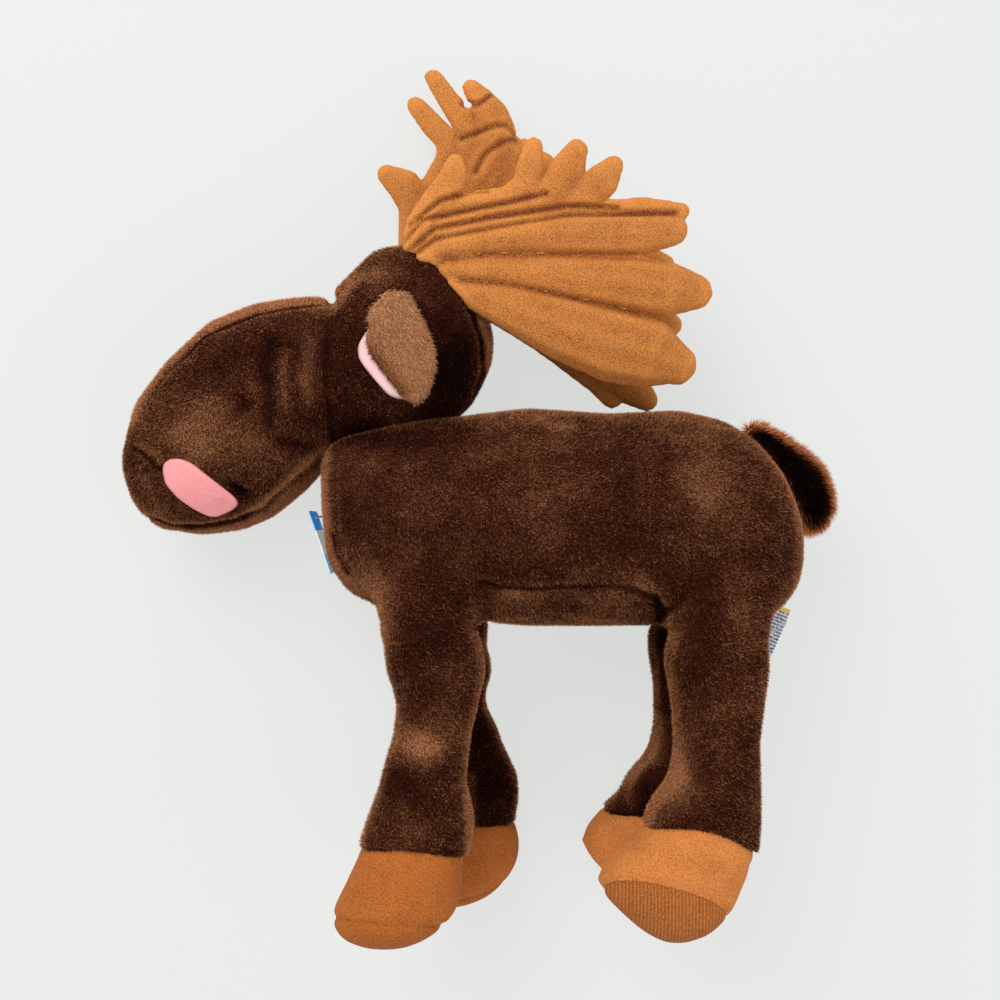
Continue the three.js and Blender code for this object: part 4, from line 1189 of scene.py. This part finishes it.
def grown(name, skin, material, cloth, seed, nap_tone_and_painted_light=nap_and_painted_light_at, bare=(), parts=1):
    """Closed tufts on a skin, in so many parts, laid the way that the cloth was brushed.

    Bare is a list of pieces, each with the room that is left free of pile round it.
    """
    length, width, gap, lean, brush = cloth
    rng = np.random.default_rng(seed)
    at, up, sunk = scattered(skin, gap, rng)
    keep = at[:, 2] > LOWEST_TUFT
    for piece, room in bare:
        keep &= ~beside(piece, at, room)
    # Three tufts in five are left out where the skin faces the table.
    keep &= ~((up[:, 2] < -0.5) & (rng.random(len(at)) < 0.6))
    at, up, sunk = at[keep], up[keep], sunk[keep]
    count = len(at)
    way = np.array(brush, float) + rng.normal(0, 0.35, (count, 3))
    way -= up * (way * up).sum(1)[:, None]
    way /= np.maximum(np.linalg.norm(way, axis=1), 1e-9)[:, None]
    slope = np.radians(lean + rng.normal(0, 9, count))
    stand = up * np.cos(slope)[:, None] + way * np.sin(slope)[:, None]
    tall = length * rng.uniform(0.75, 1.1, count) * np.clip(1 - sunk / SHORT_DEPTH, 0.45, 1.1)
    side = np.cross(up, way)
    spin = rng.uniform(0, 2 * np.pi, count)
    verts = np.empty((count, 4, 3))
    for corner in range(3):
        angle = spin + corner * 2 * np.pi / 3
        ring = way * np.cos(angle)[:, None] + side * np.sin(angle)[:, None]
        verts[:, corner] = at + ring * (width / 2) - up * FOOT_DEPTH
    verts[:, 3] = at + stand * tall[:, None]
    verts[:, :, 2] = np.maximum(verts[:, :, 2], LOWEST_POINT)
    # Tufts where the skin is sunk, at a seam or a fold, are darkened as painted shade; each also varies
    # at random.
    naps_with_painted_light = nap_tone_and_painted_light(at, up) - np.clip(sunk / DARK_DEPTH, 0, 1) * 0.35 + rng.normal(0, 0.2, count)
    print(name, count, "tufts")
    shares = enumerate(np.array_split(np.argsort(at[:, 0]), parts), 1)
    return [tuft_mesh(f"{name}_{part}", verts[share], naps_with_painted_light[share], material) for part, share in shares]


def skin_shade(skin, material, nap_tone_and_painted_light=nap_and_painted_light_at):
    """The ground under the pile: the same colours, darkened as painted shade under the pile."""
    store(skin, "nap_tone_and_painted_light", nap_tone_and_painted_light(coordinates(skin), point_normals(skin)))
    store(skin, "tip", np.full(len(skin.data.vertices), 0.45))
    skin.data.materials.append(material)


GAP = 0.00078
# Length, width and spacing of the tufts in metres, their slope in degrees and the way they are brushed
BODY_CLOTH = (0.0018, 0.00056, GAP, 42, (0.75, -0.55, 0.15))
HEAD_CLOTH = (0.0018, 0.00056, GAP, 42, (-0.4, -0.7, 0.2))
EAR_CLOTH = (0.0019, 0.0005, GAP * 0.85, 50, (0.35, -0.9, 0.1))
TAIL_CLOTH = (0.0055, 0.0007, GAP * 0.85, 46, (0.6, -0.75, 0.0))
piles = {}
for seed, (name, skin) in enumerate(skins.items(), 10):
    skin_shade(skin, brown_plush)
    parts = 3 if name == "torso" else 1
    piles[name] = grown(f"{name}_pile", skin, brown_plush, BODY_CLOTH, seed, parts=parts)
skin_shade(head, brown_plush)
patches = [(patch, 0.0020) for patch in nostrils.values()]
piles["head"] = grown("head_pile", head, brown_plush, HEAD_CLOTH, 20, bare=patches, parts=2)


def ear_nap(points, normals):
    """Pale, with a darker part beside the felt that shows."""
    away = flat_distance(points, [(-45, 57), (-38, 45), (-33, 40)]) * 1000
    return 0.66 - 0.45 * np.exp(-((away / 3.2) ** 2))


ear_piles = {}
for side, ear in ears.items():
    skin_shade(ear, ear_plush, ear_nap)
    bare = [(linings[side], 0.0014)]
    ear_piles[side] = grown(f"ear_{side}_pile", ear, ear_plush, EAR_CLOTH, 30, nap_tone_and_painted_light=ear_nap, bare=bare)


def tail_tone_and_rim_light(points, normals):
    """Dark along the middle of the tail, and pale at its rim as painted rim light."""
    return np.clip(-0.40 + 2.8 * (1 - np.abs(normals[:, 2])), -0.3, 1)


skin_shade(tail, tail_plush, tail_tone_and_rim_light)
tail_pile = grown("tail_pile", tail, tail_plush, TAIL_CLOTH, 40, nap_tone_and_painted_light=tail_tone_and_rim_light)

# %% [markdown]
# ## Label and swing tag
# The label is a short woven ribbon with yellow selvages, folded once and caught in the rump seam. A
# grid bent along its length gives an even fold. The swing tag is a folded card on a clear plastic
# strand, seen nearly from its edge, with a plain printed field in two blues and white. Each leaf is a
# grid too, so that its corners can be rounded and its hole cut with few faces.

# %% Folded ribbon
CORNER = Vector((0.1433, -0.0578, 0.0515))
LABEL_TURN = math.radians(-23)
REACH, WIDTH = 0.0145, 0.0245
# Half the thickness of the folded ribbon, and the share of its run that lies flat
HALF_FOLD, FLAT_SHARE = 0.0004, 0.9
# Where a selvage begins, from the middle of the ribbon, as a share of its width
SELVAGE = 0.43
clear_selection()
bpy.ops.mesh.primitive_grid_add(x_subdivisions=40, y_subdivisions=24, size=1)
label = bpy.context.object
label.name = "label_ribbon"
points = coordinates(label)
run, across = points[:, 0] * 2, points[:, 1]
flat_part = np.abs(run) > 1 - FLAT_SHARE
angle = np.clip(run / (1 - FLAT_SHARE), -1, 1) * np.pi / 2
straight = (1 - np.abs(run)) / FLAT_SHARE * (REACH - HALF_FOLD)
outward = np.where(flat_part, straight, REACH - HALF_FOLD + HALF_FOLD * np.cos(angle))
local_x = outward - REACH
local_y = (across - 0.5) * WIDTH
local_z = np.where(flat_part, np.sign(run) * HALF_FOLD, HALF_FOLD * np.sin(angle))
local_z += 0.0007 * np.sin(across * 5 + 1) * np.clip(outward / REACH, 0, 1)
turn_x = local_x * math.cos(LABEL_TURN) - local_y * math.sin(LABEL_TURN)
turn_y = local_x * math.sin(LABEL_TURN) + local_y * math.cos(LABEL_TURN)
set_coordinates(label, np.stack([turn_x, turn_y, local_z], 1) + np.array(CORNER))
label.data.materials.append(ribbon_white)
label.data.materials.append(ribbon_yellow)
for face in label.data.polygons:
    edge = abs(across[list(face.vertices)].mean())
    face.material_index = 1 if edge > SELVAGE else 0
apply_modifier(label, "SOLIDIFY", thickness=0.00025, offset=0)
print("label", len(label.data.vertices), "points")

# %% Folded card with its hole
TAG_AT = Vector((-0.078, -0.0152, 0.026))
TAG_TURN, TAG_LEAN = math.radians(19), math.radians(3.2)
TAG_HIGH, TAG_WIDE, CARD_THICK = 0.031, 0.040, 0.0003
# Radius of the card's corners and of its hole, and how near the hole's middle faces are cut away
CORNER_RADIUS, HOLE_RADIUS, CUT_RADIUS = 0.003, 0.0025, 0.0024
# Within what distance of that middle an open edge is the hole's, and how far a leaf lies from the fold
EDGE_REACH, LEAF_OFFSET = 0.004, 0.00022
# Height of the hole over the middle of the card, as a share of the card's height
HOLE_SHARE = 0.4
# Where the printed field changes colour, down from the hole, as shares of the card's height
PRINT_SHARES = (0.22, 0.6)


def card_leaf(name, offset, finishes):
    """One leaf of the tag, with rounded corners and the hole for the strand."""
    clear_selection()
    bpy.ops.mesh.primitive_grid_add(x_subdivisions=32, y_subdivisions=40, size=1)
    leaf = bpy.context.object
    leaf.name = name
    shape = bmesh.new()
    shape.from_mesh(leaf.data)
    for vert in shape.verts:
        vert.co = Vector((offset, (vert.co.x - HOLE_SHARE) * TAG_HIGH, vert.co.y * TAG_WIDE))
    gone = [face for face in shape.faces if face.calc_center_median().yz.length < CUT_RADIUS]
    bmesh.ops.delete(shape, geom=gone, context="FACES")
    straight_y, straight_z = TAG_HIGH / 2 - CORNER_RADIUS, TAG_WIDE / 2 - CORNER_RADIUS
    for vert in shape.verts:
        if vert.is_boundary and vert.co.yz.length < EDGE_REACH:
            vert.co.yz = vert.co.yz.normalized() * HOLE_RADIUS
        y, z = vert.co.y + HOLE_SHARE * TAG_HIGH, vert.co.z
        over_y, over_z = abs(y) - straight_y, abs(z) - straight_z
        if over_y > 0 and over_z > 0:
            pull = max(over_y, over_z) / math.hypot(over_y, over_z)
            y = math.copysign(straight_y + over_y * pull, y)
            z = math.copysign(straight_z + over_z * pull, z)
            vert.co.yz = (y - HOLE_SHARE * TAG_HIGH, z)
    shape.to_mesh(leaf.data)
    shape.free()
    for finish in finishes:
        leaf.data.materials.append(finish)
    for face in leaf.data.polygons:
        face.material_index = sum(-face.center.y / TAG_HIGH >= share for share in PRINT_SHARES)
    apply_modifier(leaf, "SOLIDIFY", thickness=CARD_THICK, offset=0)
    lean = Matrix.Rotation(TAG_LEAN, 4, "Y") @ Matrix.Translation((0, 0, -TAG_WIDE / 2))
    turn = Matrix.Rotation(TAG_TURN, 4, "Z") @ Matrix.Translation((0, 0, TAG_WIDE / 2))
    leaf.data.transform(Matrix.Translation(TAG_AT) @ turn @ lean)
    leaf.data.update()
    return leaf


tag_front = card_leaf("tag_front_leaf", LEAF_OFFSET, [card_blue, card_white, card_light_blue])
tag_back = card_leaf("tag_back_leaf", -LEAF_OFFSET, [card_white] * 3)
strand = frame["nodes"]["tag_fastener"]
strand.data.materials.clear()
strand.data.materials.append(clear_plastic)

# %% [markdown]
# ## What moves with what
# Each piece rides on the body of the same name, except a leg's skin and pile, which ride on no body and
# only have their place baked into the mesh.

# %% Rides, finishes and hidden frame parts
for piece in (torso, *piles["torso"], strand):
    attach(piece, "torso")
for piece in (head, *piles["head"], nostrils["left"], nostrils["right"]):
    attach(piece, "head")
for name, leg in LEGS.items():
    hip_x, z = leg["hip"][0] / 1000, leg["middle"] / 1000
    for piece in (skins[name], *piles[name]):
        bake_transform(piece)
    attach(hooves[name], f"leg_{name}")
    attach(soles[name], f"leg_{name}")
    hooves[name].data.materials.append(hoof_fleece if leg["kind"] == "front" else hind_fleece)
    soles[name].data.materials.append(sole_fleece if leg["kind"] == "front" else sole_knit)
    # Hooves and soles are darkened a little in their creases: painted shade.
    for piece in (hooves[name], soles[name]):
        keep_creases(piece, 10, 0.0012)
    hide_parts(f"leg_{name}_cover", f"leg_{name}_filling")
    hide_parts(f"hoof_{name}")
    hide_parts(f"hoof_{name}_sole")
for side in ("left", "right"):
    for piece in (ears[side], *ear_piles[side], linings[side]):
        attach(piece, f"ear_{side}")
    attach(antlers[side], f"antler_{side}")
    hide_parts(f"ear_{side}")
    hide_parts(f"ear_{side}_lining")
    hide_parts(f"antler_{side}")
    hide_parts(f"nostril_{side}")
for piece in (tail, *tail_pile):
    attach(piece, "tail")
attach(label, "label")
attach(tag_front, "tag")
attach(tag_back, "tag")
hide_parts("torso_cover", "torso_filling")
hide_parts("head_cover", "head_filling")
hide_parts("tail")
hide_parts("sewn_label")
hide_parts("swing_tag")

smooth = [head, tail]
for group in (skins, hooves, soles, antlers, ears, linings, nostrils):
    smooth += group.values()
for piece in smooth:
    piece.data.polygons.foreach_set("use_smooth", np.ones(len(piece.data.polygons), bool))
    piece.data.update()
triangles = []
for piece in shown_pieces():
    piece.data.calc_loop_triangles()
    triangles.append(len(piece.data.loop_triangles))
print("pieces", len(triangles), "triangles", sum(triangles), "most in one piece", max(triangles))
